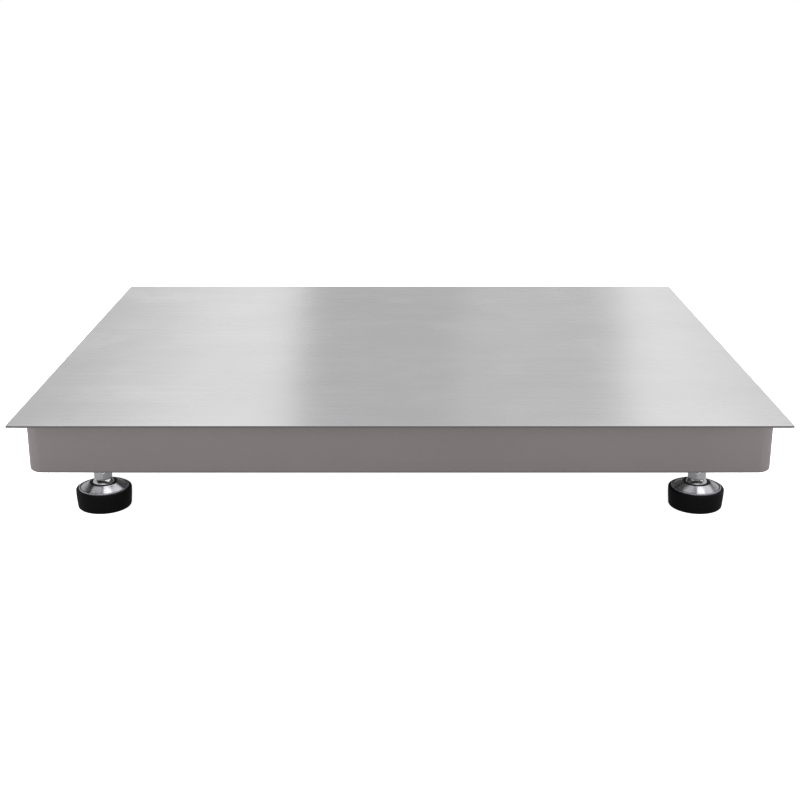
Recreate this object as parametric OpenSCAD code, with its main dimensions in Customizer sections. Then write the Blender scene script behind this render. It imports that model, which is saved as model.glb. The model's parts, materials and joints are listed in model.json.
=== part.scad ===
// Platform of an animal weighing scale: a flat deck on a low frame, carried by four
// shear-beam load cells, each standing on a levelling foot with a ball joint.
// Millimetres. The origin is on the floor under the middle of the deck, with +X to the
// right, +Y to the back and +Z up. The feet are drawn at the middle of their travel.

/* [Deck] */
// Width of the deck, left to right
deck_w = 1000; // [960:10:1200]
// Depth of the deck, front to back
deck_d = 800; // [780:10:1000]
// Thickness of the deck sheet
deck_t = 3; // [2:0.5:4]
// Height of the deck's top above the floor
deck_h = 147; // [145:1:152]

/* [Frame] */
// How far the deck stands out past the skirt on every side
overhang = 17; // [15:1:20]
// Height of the skirt
skirt_h = 68; // [64:1:70]
// Thickness of the skirt sheet
skirt_t = 2.5; // [2:0.5:3]
// Outer radius of the skirt's upright corners, and width of its lips
corner_r = 20; // [18:1:24]
// Depth of the cross beams
beam_depth = 40; // [36:1:44]
// Depth of the ribs
rib_depth = 30; // [26:1:34]

/* [Load cells] */
// Length of a load cell
cell_l = 132; // [130:1:140]
// Width and height of a load cell
cell_s = 32; // [30:1:32]
// Distance of a foot's axis from the deck's two nearest edges
foot_inset = 96; // [94:1:100]

/* [Feet] */
// Radius of the rubber pad at its rim
pad_r = 37.4; // [36:0.2:40]
// Radius of the stud's ball
ball_r = 15.5; // [14.5:0.1:15.5]
// Width of the hexagons across their flats
hex_af = 24; // [22:1:24]
// Radius of the stud's thread
stud_r = 8; // [7:0.5:8]

/* [Junction box] */
// Length of the junction box
box_l = 150; // [140:2:170]
// Width of the junction box
box_w = 86; // [80:2:100]

/* [Cables] */
// Diameter of the cables inside the frame
cable_d = 5; // [4:0.5:5]

/* [Hidden] */
$fn = 96;
running = 0.05;
slack = 0.1;

// Frame levels and faces
frame_top = deck_h - deck_t;
skirt_z = frame_top - skirt_h;
half_w = deck_w / 2 - overhang;
half_d = deck_d / 2 - overhang;
lip = corner_r;
bend_r = skirt_t + 1.5;
lip_z = frame_top - skirt_t;
end_return = 30;
side_l = 2 * (half_d - corner_r - end_return);

// Cross beams and ribs
beam_x = 245;
beam_w = 40;
beam_t = 3;
rib_w = 40;
rib_t = 2;
rib_y = 190;
side_rib_y = 125;

// Deck studs, M6, and their flange nuts
deck_stud_r = 3;
deck_stud_l = 16;
lip_hole_r = 3.5;
lip_hole_d = 12;
end_stud_x = [-360, -120, 120, 360];
side_stud_y = [-250, 0, 250];

// Load cells, each with its free end over a foot
foot_x = deck_w / 2 - foot_inset;
foot_y = deck_d / 2 - foot_inset;
plate_t = 12;
spacer_t = 4;
cell_top = frame_top - plate_t - spacer_t;
cell_z = cell_top - cell_s;
cell_end = foot_x + 18;
cell_root = cell_end - cell_l;
bolt_x = [cell_root + 13, cell_root + 39];
spacer_l = 52;
plate_x0 = beam_x + beam_w / 2;
plate_x1 = cell_root + 55;
plate_y0 = foot_y - 42;
pocket_r = 10;
pocket_depth = 10;
pocket_x = (bolt_x[1] + foot_x) / 2;
cover_r = 12.5;
cover_t = 1.5;
outlet_x = (bolt_x[0] + bolt_x[1]) / 2;
outlet_r = 5;
outlet_l = 12;
bolt_r = 6;
bolt_hole_r = 6.5;
bolt_head_af = 19;
bolt_head_h = 7.5;
washer_t = 2.5;

// Levelling feet
pad_h = 27;
pad_floor = 5;
base_r = pad_r - 4;
pad_bore_r = base_r + 0.3;
ball_z = 29;
seat_in_r = ball_r + slack;
seat_out_r = seat_in_r + 3.3;
socket_r = seat_out_r + 1.5 * slack;
hex_z = 41.5;
hex_h = 10;
hex_turn = 14; // each stud's hexagon, from pointing straight ahead towards the middle
stud_top = cell_top - 4;
lock_washer_t = 3;
lock_nut_h = 13;

// Junction box, hung under the middle rib
box_top = frame_top - rib_depth;
box_h = 28;
box_wall = 3;
gasket_t = 1;
cover_h = 4;
box_z = box_top - box_h;
gland_y = 20;
gland_z = box_z + 12;
gland_thread_r = 6;
gland_l = 17;
cover_screw_at = [box_l / 2 - 7, box_w / 2 - 7];
box_screw_x = 50;
box_screw_r = 2;

// Socket for the indicator's lead, in the middle of the rear skirt
socket_z = skirt_z + 32;
shell_r = 8;
flange_r = 10.5;
flange_t = 2;
plug_thread_r = 7.5;
plug_thread_l = 10;

// Route of a load cell's cable, for the rear right corner, and of the output cable
cable_r = cable_d / 2;
cable_z = gland_z;
outlet_z = cell_z + cell_s / 2;
cell_route = [
    [outlet_x, foot_y - cell_s / 2 - 6, outlet_z],
    [outlet_x, foot_y - cell_s / 2 - outlet_l - 2, outlet_z],
    [outlet_x, foot_y - cell_s / 2 - 26, outlet_z],
    [outlet_x - 3, foot_y - cell_s / 2 - 46, outlet_z - 4],
    [outlet_x - 14, foot_y - cell_s / 2 - 70, cable_z + 2],
    [beam_x + 30, 192, cable_z],
    [beam_x, 165, cable_z],
    [beam_x - 36, 132, cable_z],
    [168, 84, cable_z],
    [142, 42, cable_z],
    [122, 24, cable_z],
    [105, gland_y, cable_z],
    [box_l / 2 + gland_l + 1, gland_y, cable_z],
    [box_l / 2 - box_wall - 8, gland_y, cable_z]
];
output_route = [
    [0, box_w / 2 - box_wall - 8, cable_z],
    [0, box_w / 2 + gland_l + 1, cable_z],
    [0, box_w / 2 + 32, cable_z],
    [3, 120, cable_z],
    [6, 160, cable_z],
    [6, rib_y, cable_z],
    [5, 230, cable_z],
    [1, 275, cable_z + 2],
    [0, 310, socket_z - 2],
    [0, 335, socket_z],
    [0, half_d - 26, socket_z]
];
beam_clip = [cell_route[6], cell_route[7] - cell_route[5], frame_top - beam_depth];
rib_clip = [output_route[5], output_route[6] - output_route[4], frame_top - rib_depth];
clip_room = 0.3;

// The four corners: name, side of X and side of Y
CORNERS = [
    ["front_left", -1, -1],
    ["front_right", 1, -1],
    ["rear_left", -1, 1],
    ["rear_right", 1, 1]
];
FOOT_PARTS = ["stud", "lock_nut", "lock_washer", "ball_seat", "ball_ring", "foot_base", "foot_pad"];

// ---------- shared shapes ----------

module rounded_square(w, h, r) {
    translate([r, 0]) square([w - 2 * r, h]);
    translate([0, r]) square([w, h - 2 * r]);
    for (x = [r, w - r]) for (y = [r, h - r]) translate([x, y]) circle(r);
}

module hexagon(af) {
    rotate(30) circle(r = af / sqrt(3), $fn = 6);
}

// A hexagon's prism with its corners turned off at 30 degrees at both ends
module turned_hex(af, h) {
    corner = af / sqrt(3);
    chamfer = (corner - af / 2 + 0.3) * tan(30);
    intersection() {
        linear_extrude(h) hexagon(af);
        rotate_extrude() polygon([
            [0, 0], [af / 2 - 0.3, 0], [corner, chamfer],
            [corner, h - chamfer], [af / 2 - 0.3, h], [0, h]
        ]);
    }
}

module washer(outer, inner, t) {
    difference() {
        cylinder(r = outer, h = t);
        translate([0, 0, -1]) cylinder(r = inner, h = t + 2);
    }
}

// One copy at each corner, mirrored so that the rear right one is the pattern
module at_corners() {
    for (c = CORNERS) corner(c) children();
}

module corner(c) {
    mirror([c[1] < 0 ? 1 : 0, 0, 0]) mirror([0, c[2] < 0 ? 1 : 0, 0]) children();
}

// A foot's own frame: its axis, on the floor
module foot_at(c) {
    translate([c[1] * foot_x, c[2] * foot_y, 0]) children();
}

// ---------- cables ----------

function unit(v) = v / norm(v);
function spline(p0, p1, p2, p3, t) =
    0.5 * (2 * p1 + (p2 - p0) * t + (2 * p0 - 5 * p1 + 4 * p2 - p3) * t * t
    + (3 * p1 - p0 - 3 * p2 + p3) * t * t * t);
function smooth_path(p, steps) =
    let (n = len(p))
    concat(
        [for (i = [0 : n - 2]) for (k = [0 : steps - 1])
            spline(p[max(i - 1, 0)], p[i], p[i + 1], p[min(i + 2, n - 1)], k / steps)],
        [p[n - 1]]
    );
function heading(p, i) = unit(p[min(i + 1, len(p) - 1)] - p[max(i - 1, 0)]);
function ring_at(p, i, r, sides) =
    let (d = heading(p, i), side = unit(cross(d, [0, 0, 1])), up = cross(side, d))
    [for (k = [0 : sides - 1])
        p[i] + r * (cos(360 * k / sides) * side + sin(360 * k / sides) * up)];

// A round cable along a path
module cable(route, r, sides = 8) {
    path = smooth_path(route, 2);
    rings = len(path);
    points = [for (i = [0 : rings - 1]) for (q = ring_at(path, i, r, sides)) q];
    wall = [for (i = [0 : rings - 2]) for (k = [0 : sides - 1])
        [i * sides + k, i * sides + (k + 1) % sides,
        (i + 1) * sides + (k + 1) % sides, (i + 1) * sides + k]];
    first = [[for (k = [sides - 1 : -1 : 0]) k]];
    last = [[for (k = [0 : sides - 1]) (rings - 1) * sides + k]];
    polyhedron(points, concat(wall, first, last), convexity = 8);
}

// ---------- deck ----------

module deck_plate() {
    color("#c4c4c6") translate([-deck_w / 2, -deck_d / 2, frame_top])
        linear_extrude(deck_t) rounded_square(deck_w, deck_d, 1.5);
}

module at_deck_studs() {
    for (s = [-1, 1]) {
        for (x = end_stud_x) translate([x, s * (half_d - lip_hole_d), 0]) children();
        for (y = side_stud_y) translate([s * (half_w - lip_hole_d), y, 0]) children();
    }
}

module deck_studs() {
    color("#b0b0b2") at_deck_studs()
        translate([0, 0, frame_top - deck_stud_l]) cylinder(r = deck_stud_r, h = deck_stud_l);
}

module deck_nuts() {
    nut_h = 6;
    flange_h = 1.5;
    color("#a8a8aa") at_deck_studs() translate([0, 0, lip_z - nut_h]) difference() {
        union() {
            turned_hex(10, nut_h - flange_h / 2);
            translate([0, 0, nut_h - flange_h]) cylinder(r = 7, h = flange_h);
        }
        translate([0, 0, -1]) cylinder(r = deck_stud_r + running, h = nut_h + 2);
    }
}

// ---------- skirts ----------

// Section of a skirt: X runs inwards from its outer face, Y upwards
module skirt_section() {
    intersection() {
        difference() {
            rounded_square(3 * corner_r, skirt_h, bend_r);
            translate([skirt_t, skirt_t])
                rounded_square(3 * corner_r, skirt_h - 2 * skirt_t, bend_r - skirt_t);
        }
        square([corner_r, skirt_h]);
    }
}

module lip_holes() {
    at_deck_studs() translate([0, 0, lip_z - 1]) cylinder(r = lip_hole_r, h = skirt_t + 2);
}

// The front skirt, with both rounded corners and a short return on each side
module end_skirt() {
    run_l = 2 * (half_w - corner_r);
    difference() {
        translate([0, 0, skirt_z]) {
            translate([-run_l / 2, -half_d, 0])
                rotate([90, 0, 90]) linear_extrude(run_l) skirt_section();
            for (side = [0, 1]) mirror([side, 0, 0]) {
                translate([corner_r - half_w, corner_r - half_d, 0]) rotate([0, 0, 180])
                    rotate_extrude(angle = 90) translate([corner_r, 0]) mirror([1, 0]) skirt_section();
                translate([-half_w, corner_r - half_d + end_return, 0])
                    rotate([90, 0, 0]) linear_extrude(end_return) skirt_section();
            }
        }
        lip_holes();
    }
}

module front_skirt() {
    color("#8a8583") end_skirt();
}

module rear_skirt() {
    color("#8a8583") difference() {
        rotate([0, 0, 180]) end_skirt();
        translate([0, half_d + 1, socket_z]) rotate([90, 0, 0])
            cylinder(r = shell_r + running, h = skirt_t + 2);
    }
}

// side is -1 for the left skirt and 1 for the right one
module side_skirt(side) {
    color("#8a8583") difference() {
        mirror([side > 0 ? 1 : 0, 0, 0]) translate([-half_w, side_l / 2, skirt_z])
            rotate([90, 0, 0]) linear_extrude(side_l) skirt_section();
        lip_holes();
    }
}

// ---------- beams and ribs ----------

// Section of a folded channel, open upwards, standing on Y = 0
module channel_section(w, h, t) {
    translate([-w / 2, 0]) intersection() {
        difference() {
            rounded_square(w, 2 * h, t + 1);
            translate([t, t]) rounded_square(w - 2 * t, 2 * h, 1);
        }
        square([w, h]);
    }
}

// Room for the skirt's lips and bends at the ends of beams and ribs
module lip_room() {
    for (s = [-1, 1]) {
        translate([-half_w, s > 0 ? half_d - lip : -half_d, frame_top - bend_r])
            cube([2 * half_w, lip, bend_r + 1]);
        translate([s > 0 ? half_w - lip : -half_w, -half_d, frame_top - bend_r])
            cube([lip, 2 * half_d, bend_r + 1]);
    }
}

// side is -1 for the left beam and 1 for the right one
module cross_beam(side) {
    length = 2 * (half_d - skirt_t);
    color("#9a9896") difference() {
        translate([side * beam_x, length / 2, frame_top - beam_depth])
            rotate([90, 0, 0]) linear_extrude(length) channel_section(beam_w, beam_depth, beam_t);
        lip_room();
    }
}

module rib(x0, x1, y) {
    translate([x0, y, frame_top - rib_depth])
        rotate([90, 0, 90]) linear_extrude(x1 - x0) channel_section(rib_w, rib_depth, rib_t);
}

module inner_ribs() {
    reach = beam_x - beam_w / 2;
    color("#9a9896") difference() {
        for (y = [-rib_y, 0, rib_y]) rib(-reach, reach, y);
        at_box_screws(box_top - 1) cylinder(r = box_screw_r + 0.2, h = rib_t + 2);
    }
}

module side_ribs() {
    color("#9a9896") for (side = [0, 1]) mirror([side, 0, 0]) for (y = [-side_rib_y, side_rib_y])
        difference() {
            rib(beam_x + beam_w / 2, half_w - skirt_t, y);
            lip_room();
        }
}

// ---------- load cells ----------

module at_bolts(z) {
    for (x = bolt_x) translate([x, foot_y, z]) children();
}

module cell_plates() {
    color("#8f8d8b") at_corners() difference() {
        translate([plate_x0, plate_y0, frame_top - plate_t])
            cube([plate_x1 - plate_x0, half_d - lip - plate_y0, plate_t]);
        at_bolts(frame_top - plate_t - 1) cylinder(r = bolt_r + running, h = plate_t + 2);
    }
}

module cell_spacers() {
    color("#b8b8ba") at_corners() difference() {
        translate([cell_root, foot_y - cell_s / 2, cell_top]) cube([spacer_l, cell_s, spacer_t]);
        at_bolts(cell_top - 1) cylinder(r = bolt_hole_r, h = spacer_t + 2);
    }
}

module cell_bolts() {
    head_z = cell_z - washer_t - bolt_head_h;
    color("#b4b4b0") at_corners() at_bolts(head_z) {
        turned_hex(bolt_head_af, bolt_head_h);
        translate([0, 0, bolt_head_h]) cylinder(r = bolt_r, h = frame_top - 2 - head_z - bolt_head_h);
    }
}

module cell_bolt_washers() {
    color("#bdbdbb") at_corners() at_bolts(cell_z - washer_t) washer(12, bolt_hole_r, washer_t);
}

// Shear beam, with its free end bored for the stud and its cable outlet facing inwards
module load_cell(c) {
    color("#a9abae") corner(c) difference() {
        union() {
            translate([cell_root, foot_y - cell_s / 2, cell_z]) cube([cell_l, cell_s, cell_s]);
            translate([outlet_x, foot_y - cell_s / 2 - outlet_l, outlet_z])
                rotate([-90, 0, 0]) cylinder(r = outlet_r, h = outlet_l + 1);
        }
        at_bolts(cell_z - 1) cylinder(r = bolt_hole_r, h = cell_s + 2);
        translate([foot_x, foot_y, cell_z - 1]) cylinder(r = stud_r + running, h = cell_s + 2);
        for (side = [-1, 1]) translate([pocket_x, foot_y + side * (cell_s / 2 - pocket_depth), outlet_z])
            rotate([-side * 90, 0, 0]) cylinder(r = pocket_r, h = pocket_depth + 1);
        translate([outlet_x, foot_y - cell_s / 2 - outlet_l - 1, outlet_z])
            rotate([-90, 0, 0]) cylinder(r = cable_r + running, h = outlet_l + 1);
    }
}

module gauge_covers() {
    color("#c8c8ca") at_corners() for (side = [-1, 1])
        translate([pocket_x, foot_y + side * cell_s / 2, outlet_z])
            rotate([-side * 90, 0, 0]) cylinder(r = cover_r, h = cover_t);
}

// ---------- junction box ----------

module at_glands() {
    for (side = [0, 180]) for (y = [-gland_y, gland_y])
        rotate([0, 0, side]) translate([box_l / 2, y, gland_z]) rotate([0, 90, 0]) children();
    translate([0, box_w / 2, gland_z]) rotate([-90, 0, 0]) children();
}

module at_cover_screws(z) {
    for (sx = [-1, 1]) for (sy = [-1, 1])
        translate([sx * cover_screw_at[0], sy * cover_screw_at[1], z]) children();
}

module at_box_screws(z) {
    for (x = [-box_screw_x, box_screw_x]) translate([x, 0, z]) children();
}

module box_outline(inset) {
    translate([inset - box_l / 2, inset - box_w / 2])
        rounded_square(box_l - 2 * inset, box_w - 2 * inset, 5);
}

module junction_box_body() {
    color("#b9bcc0") difference() {
        union() {
            difference() {
                translate([0, 0, box_z]) linear_extrude(box_h) box_outline(0);
                translate([0, 0, box_z - 1]) linear_extrude(box_h + 1 - box_wall) box_outline(box_wall);
            }
            at_cover_screws(box_z) cylinder(r = 4.5, h = box_h - 1);
        }
        at_cover_screws(box_z - 1) cylinder(r = 1.5 + running, h = 15);
        at_glands() translate([0, 0, -10]) cylinder(r = gland_thread_r + running, h = 11);
        at_box_screws(box_top - box_wall - 1) cylinder(r = box_screw_r + 0.2, h = box_wall + 2);
    }
}

module junction_box_gasket() {
    color("#1c1c1c") difference() {
        translate([0, 0, box_z - gasket_t]) linear_extrude(gasket_t) difference() {
            box_outline(0);
            box_outline(2.5);
        }
        at_cover_screws(box_z - gasket_t - 1) cylinder(r = 1.6, h = gasket_t + 2);
    }
}

module junction_box_cover() {
    color("#c2c5c9") difference() {
        translate([0, 0, box_z - gasket_t - cover_h]) linear_extrude(cover_h) box_outline(0);
        at_cover_screws(box_z - gasket_t - cover_h - 1) {
            cylinder(r = 1.6, h = cover_h + 2);
            cylinder(r = 3.6, h = 3);
        }
    }
}

// Four screws that hold the cover, and two with nuts that hold the box to the rib
module junction_box_screws() {
    color("#cfcfd1") {
        at_cover_screws(box_z - gasket_t - cover_h + 0.2) {
            difference() {
                cylinder(r = 3.2, h = 1.8);
                translate([0, 0, -1]) linear_extrude(2) square([0.9, 4.4], center = true);
                translate([0, 0, -1]) linear_extrude(2) square([4.4, 0.9], center = true);
            }
            translate([0, 0, 1.8]) cylinder(r = 1.5, h = 15);
        }
        at_box_screws(box_top - box_wall - 2) {
            cylinder(r = 4, h = 2);
            cylinder(r = box_screw_r, h = 12);
        }
        at_box_screws(box_top + rib_t) difference() {
            turned_hex(7, 3.2);
            translate([0, 0, -1]) cylinder(r = box_screw_r + running, h = 6);
        }
    }
}

module summing_board() {
    board_z = box_top - box_wall - 8;
    color("#2f6b3c") {
        translate([-58, -28, board_z]) cube([116, 56, 1.6]);
        for (x = [-44, 44]) for (y = [-20, 20])
            translate([x, y, board_z + 1.6]) cylinder(r = 3, h = 6.4);
    }
    color("#3b7fb5") for (x = [-36, -12, 12, 36]) translate([x - 9, -26, board_z - 8]) cube([18, 9, 8]);
    color("#3b7fb5") translate([-12, 17, board_z - 8]) cube([24, 9, 8]);
    color("#274b8a") for (x = [-36, -12, 12, 36]) translate([x - 3, -8, board_z - 6]) cube([6, 7, 6]);
}

// Gland with its hexagon against the box wall, its dome nut outside and its lock nut inside
module cable_gland() {
    bore = cable_r + running;
    difference() {
        union() {
            translate([0, 0, -8]) cylinder(r = gland_thread_r, h = 9);
            translate([0, 0, -box_wall - 3]) turned_hex(15, 3);
            turned_hex(15, 5);
            translate([0, 0, 5]) turned_hex(14, 7);
            translate([0, 0, 12]) cylinder(r1 = 6.4, r2 = 4.6, h = gland_l - 12);
        }
        translate([0, 0, -9]) cylinder(r = bore, h = gland_l + 10);
    }
}

module cable_glands() {
    color("#202022") at_glands() cable_gland();
}

module cell_cables() {
    color("#2a2a2c") at_corners() cable(cell_route, cable_r);
}

module output_cable() {
    color("#2a2a2c") cable(output_route, cable_r);
}

// Saddle round the cable at [place, direction of the cable, level of the steel above]
module cable_clip(spot) {
    grip = cable_r + 1.6;
    drop = spot[2] - spot[0][2];
    translate(spot[0]) rotate([0, 0, atan2(spot[1][1], spot[1][0])]) difference() {
        union() {
            rotate([90, 0, 90]) translate([0, 0, -5]) cylinder(r = grip, h = 10);
            translate([-5, -grip, 0]) cube([10, 2 * grip, drop]);
            translate([-5, -grip - 9, drop - 2]) cube([10, 2 * grip + 9, 2]);
            translate([0, -grip - 4.5, drop - 4]) cylinder(r = 3.2, h = 2.5);
        }
        rotate([90, 0, 90]) translate([0, 0, -6]) cylinder(r = cable_r + clip_room, h = 12);
    }
}

module cable_clips() {
    color("#303032") {
        at_corners() cable_clip(beam_clip);
        cable_clip(rib_clip);
    }
}

// ---------- indicator socket ----------

module at_socket(y) {
    translate([0, y, socket_z]) rotate([-90, 0, 0]) children();
}

module indicator_socket() {
    back_l = 16;
    recess = 8;
    color("#d0d0d2") {
        difference() {
            union() {
                at_socket(half_d) cylinder(r = flange_r, h = flange_t);
                at_socket(half_d + flange_t) cylinder(r = plug_thread_r, h = plug_thread_l);
                at_socket(half_d - back_l) cylinder(r = shell_r, h = back_l + 1);
                at_socket(half_d - back_l - 14) cylinder(r = 5.5, h = 15);
            }
            at_socket(half_d + flange_t + plug_thread_l - recess) cylinder(r = 6, h = recess + 1);
            at_socket(half_d - back_l - 15) cylinder(r = cable_r + running, h = 8);
        }
        for (a = [0 : 72 : 288])
            at_socket(half_d + flange_t + plug_thread_l - recess - 1)
                rotate([0, 0, a]) translate([3.6, 0, 0]) cylinder(r = 0.7, h = 6);
    }
}

module socket_nut() {
    color("#c6c6c8") at_socket(half_d - skirt_t - 4) difference() {
        turned_hex(22, 4);
        translate([0, 0, -1]) cylinder(r = shell_r + running, h = 6);
    }
}

// ---------- levelling feet, each drawn round its own axis ----------

module foot_pad() {
    color("#161618") difference() {
        rotate_extrude() difference() {
            union() {
                polygon([[0, 0], [pad_r - 4.4, 0], [pad_r - 1.4, 3], [pad_r, pad_h - 2],
                    [pad_r - 2, pad_h], [0, pad_h]]);
                translate([pad_r - 4.4, 3]) circle(3);
                translate([pad_r - 2, pad_h - 2]) circle(2);
            }
            translate([0, pad_floor]) square([pad_bore_r, pad_h]);
        }
        for (r = [12, 20, 28]) translate([0, 0, -1]) difference() {
            cylinder(r = r + 2, h = 2.2);
            translate([0, 0, -1]) cylinder(r = r, h = 5);
        }
    }
}

// Turned and plated steel base, with a spherical socket for the seat and ring
module foot_base() {
    color("#dcdce0") difference() {
        rotate_extrude() polygon([
            [0, pad_floor], [base_r, pad_floor], [base_r, pad_h + 0.6], [base_r - 0.8, pad_h + 1.2],
            [base_r - 2.6, pad_h + 1.4], [base_r - 3, pad_h + 1.2],
            [socket_r + 0.6, ball_z + 5.3], [0, ball_z + 5.3]
        ]);
        translate([0, 0, ball_z]) sphere(socket_r);
    }
}

// A ring cut from the spherical liner between two levels
module liner(z0, z1) {
    rotate_extrude() difference() {
        intersection() {
            translate([0, ball_z]) circle(seat_out_r);
            translate([0, z0]) square([seat_out_r + 1, z1 - z0]);
        }
        translate([0, ball_z]) circle(seat_in_r);
    }
}

module ball_seat() {
    color("#26262a") liner(ball_z - 14, ball_z - 1.7);
}

module ball_ring() {
    color("#101012") liner(ball_z + 1.7, ball_z + 6);
}

module stud(turn) {
    color("#c9cacd") {
        difference() {
            translate([0, 0, ball_z]) sphere(ball_r);
            translate([0, 0, ball_z - ball_r - 1]) cylinder(r = ball_r, h = 3);
        }
        translate([0, 0, ball_z]) cylinder(r = 9.5, h = hex_z - ball_z + 0.5);
        translate([0, 0, hex_z]) rotate([0, 0, turn]) turned_hex(hex_af, hex_h);
        translate([0, 0, hex_z + hex_h - 1]) cylinder(r = stud_r - 1.2, h = 4);
        translate([0, 0, hex_z + hex_h + 2]) cylinder(r = stud_r, h = stud_top - 1.5 - hex_z - hex_h - 2);
        translate([0, 0, stud_top - 1.5]) cylinder(r1 = stud_r, r2 = stud_r - 1.5, h = 1.5);
    }
}

module lock_washer() {
    color("#c2c2c4") translate([0, 0, cell_z - lock_washer_t])
        washer(15, stud_r + 0.5, lock_washer_t);
}

module lock_nut() {
    color("#bfc0c3") translate([0, 0, cell_z - lock_washer_t - lock_nut_h]) difference() {
        turned_hex(hex_af, lock_nut_h);
        translate([0, 0, -1]) cylinder(r = stud_r + running, h = lock_nut_h + 2);
    }
}

// ---------- nodes ----------

deck_plate();
deck_studs();
deck_nuts();
front_skirt();
rear_skirt();
side_skirt(-1);  // left_skirt
side_skirt(1);  // right_skirt
cross_beam(-1);  // left_cross_beam
cross_beam(1);  // right_cross_beam
inner_ribs();
side_ribs();
cell_plates();
cell_spacers();
cell_bolts();
cell_bolt_washers();
gauge_covers();
junction_box_body();
junction_box_gasket();
junction_box_cover();
junction_box_screws();
summing_board();
cable_glands();
cell_cables();
output_cable();
cable_clips();
indicator_socket();
socket_nut();
for (c = CORNERS) {
    load_cell(c);
    foot_at(c) stud(c[1] * c[2] * hex_turn);
    foot_at(c) lock_nut();
    foot_at(c) lock_washer();
    foot_at(c) ball_seat();
    foot_at(c) ball_ring();
    foot_at(c) foot_base();
    foot_at(c) foot_pad();
}
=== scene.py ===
"""Looks of an animal weighing scale's platform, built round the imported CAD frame.

Metres, in the CAD's own frame: the origin is on the floor under the middle of the deck,
+X to the right, +Y to the back, +Z up. Every finish reads the UV map "finish", whose U runs
across the brushing or turning lines and whose V runs along them, both in metres.
"""

import json
import math

import bmesh
import bpy
from mathutils import Matrix, Vector

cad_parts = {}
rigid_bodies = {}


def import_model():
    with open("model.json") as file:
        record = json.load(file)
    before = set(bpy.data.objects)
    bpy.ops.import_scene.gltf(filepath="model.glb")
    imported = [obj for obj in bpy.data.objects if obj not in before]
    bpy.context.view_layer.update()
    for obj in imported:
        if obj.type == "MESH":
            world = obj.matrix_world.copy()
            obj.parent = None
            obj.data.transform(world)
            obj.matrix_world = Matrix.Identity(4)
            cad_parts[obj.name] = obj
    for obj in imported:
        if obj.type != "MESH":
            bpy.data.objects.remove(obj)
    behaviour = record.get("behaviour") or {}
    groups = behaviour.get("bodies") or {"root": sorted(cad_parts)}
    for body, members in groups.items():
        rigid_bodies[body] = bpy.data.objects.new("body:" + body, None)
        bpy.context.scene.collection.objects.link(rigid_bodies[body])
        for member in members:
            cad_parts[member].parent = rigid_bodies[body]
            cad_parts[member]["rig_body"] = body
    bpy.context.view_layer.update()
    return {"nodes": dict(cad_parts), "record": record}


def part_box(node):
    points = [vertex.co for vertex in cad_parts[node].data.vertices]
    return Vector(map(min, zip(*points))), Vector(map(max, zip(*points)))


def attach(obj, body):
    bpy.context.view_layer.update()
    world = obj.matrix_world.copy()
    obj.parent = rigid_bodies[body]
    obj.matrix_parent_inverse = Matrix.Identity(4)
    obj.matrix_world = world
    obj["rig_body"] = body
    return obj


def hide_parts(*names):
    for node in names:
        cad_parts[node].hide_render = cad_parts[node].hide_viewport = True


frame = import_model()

SCENE = bpy.context.scene
MM = 0.001
CORNERS = ("front_left", "front_right", "rear_left", "rear_right")
PLATFORM = "platform"

DECK_LOW, DECK_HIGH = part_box("deck_plate")
FRONT_LOW, FRONT_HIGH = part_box("front_skirt")


# ---------- camera, floor and lights ----------

CAMERA_BACK = 1.533      # from the deck's front edge to the camera, along the floor
CAMERA_UP = 0.5262       # from the deck's top to the camera
CAMERA_PITCH = 17.785    # degrees below the horizon
CAMERA_LENS = 57.65
STRIP_UP = 1.2           # from the deck's top to the long ceiling lights
STRIP_LENGTH = 16
FLOOR_SEEN = 0.9         # the floor's own colour
FLOOR_MIRRORED = 0.168    # the same floor as the metal reflects it
FLOOR_LIFT = 0.93        # light that the floor adds towards the camera
FLOOR_GLOW = 0.14        # light that it adds everywhere, which also reaches the underside


def make_camera():
    data = bpy.data.cameras.new("camera")
    data.sensor_width = 36
    data.lens = CAMERA_LENS
    camera = bpy.data.objects.new("camera", data)
    SCENE.collection.objects.link(camera)
    camera.location = (0, DECK_LOW.y - CAMERA_BACK, DECK_HIGH.z + CAMERA_UP)
    camera.rotation_euler = (math.radians(90 - CAMERA_PITCH), 0, 0)
    SCENE.camera = camera


def foot_axis(corner):
    """The point on the floor under a foot's stud."""
    low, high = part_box(f"{corner}_stud")
    return Vector(((low.x + high.x) / 2, (low.y + high.y) / 2, 0))


def area_light(name, centre, size, towards, radiance, seen_by):
    """A soft rectangular light of a stated radiance. seen_by is diffuse or glossy."""
    data = bpy.data.lights.new(name, "AREA")
    data.shape = "RECTANGLE"
    data.size, data.size_y = size
    data.energy = radiance * math.pi * size[0] * size[1]
    light = bpy.data.objects.new(name, data)
    SCENE.collection.objects.link(light)
    light.location = centre
    light.rotation_euler = (Vector(towards) - Vector(centre)).to_track_quat("-Z", "Y").to_euler()
    light.visible_camera = False
    light.visible_diffuse = seen_by == "diffuse"
    light.visible_glossy = seen_by == "glossy"
    return light


def ceiling_strip(name, x_on_deck, width_on_deck, slant, radiance):
    """A long light over the deck's short side. Its reflection crosses the deck at x_on_deck."""
    spread = 1 + STRIP_UP / CAMERA_UP
    middle_y = (DECK_HIGH.y + CAMERA_BACK) * STRIP_UP / CAMERA_UP
    x, y, z = x_on_deck * spread, middle_y, DECK_HIGH.z + STRIP_UP
    light = area_light(name, (x, y, z), (width_on_deck * spread, STRIP_LENGTH), (x, y, 0), radiance,
                       seen_by="glossy")
    light.rotation_euler.z += math.radians(slant)


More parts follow.
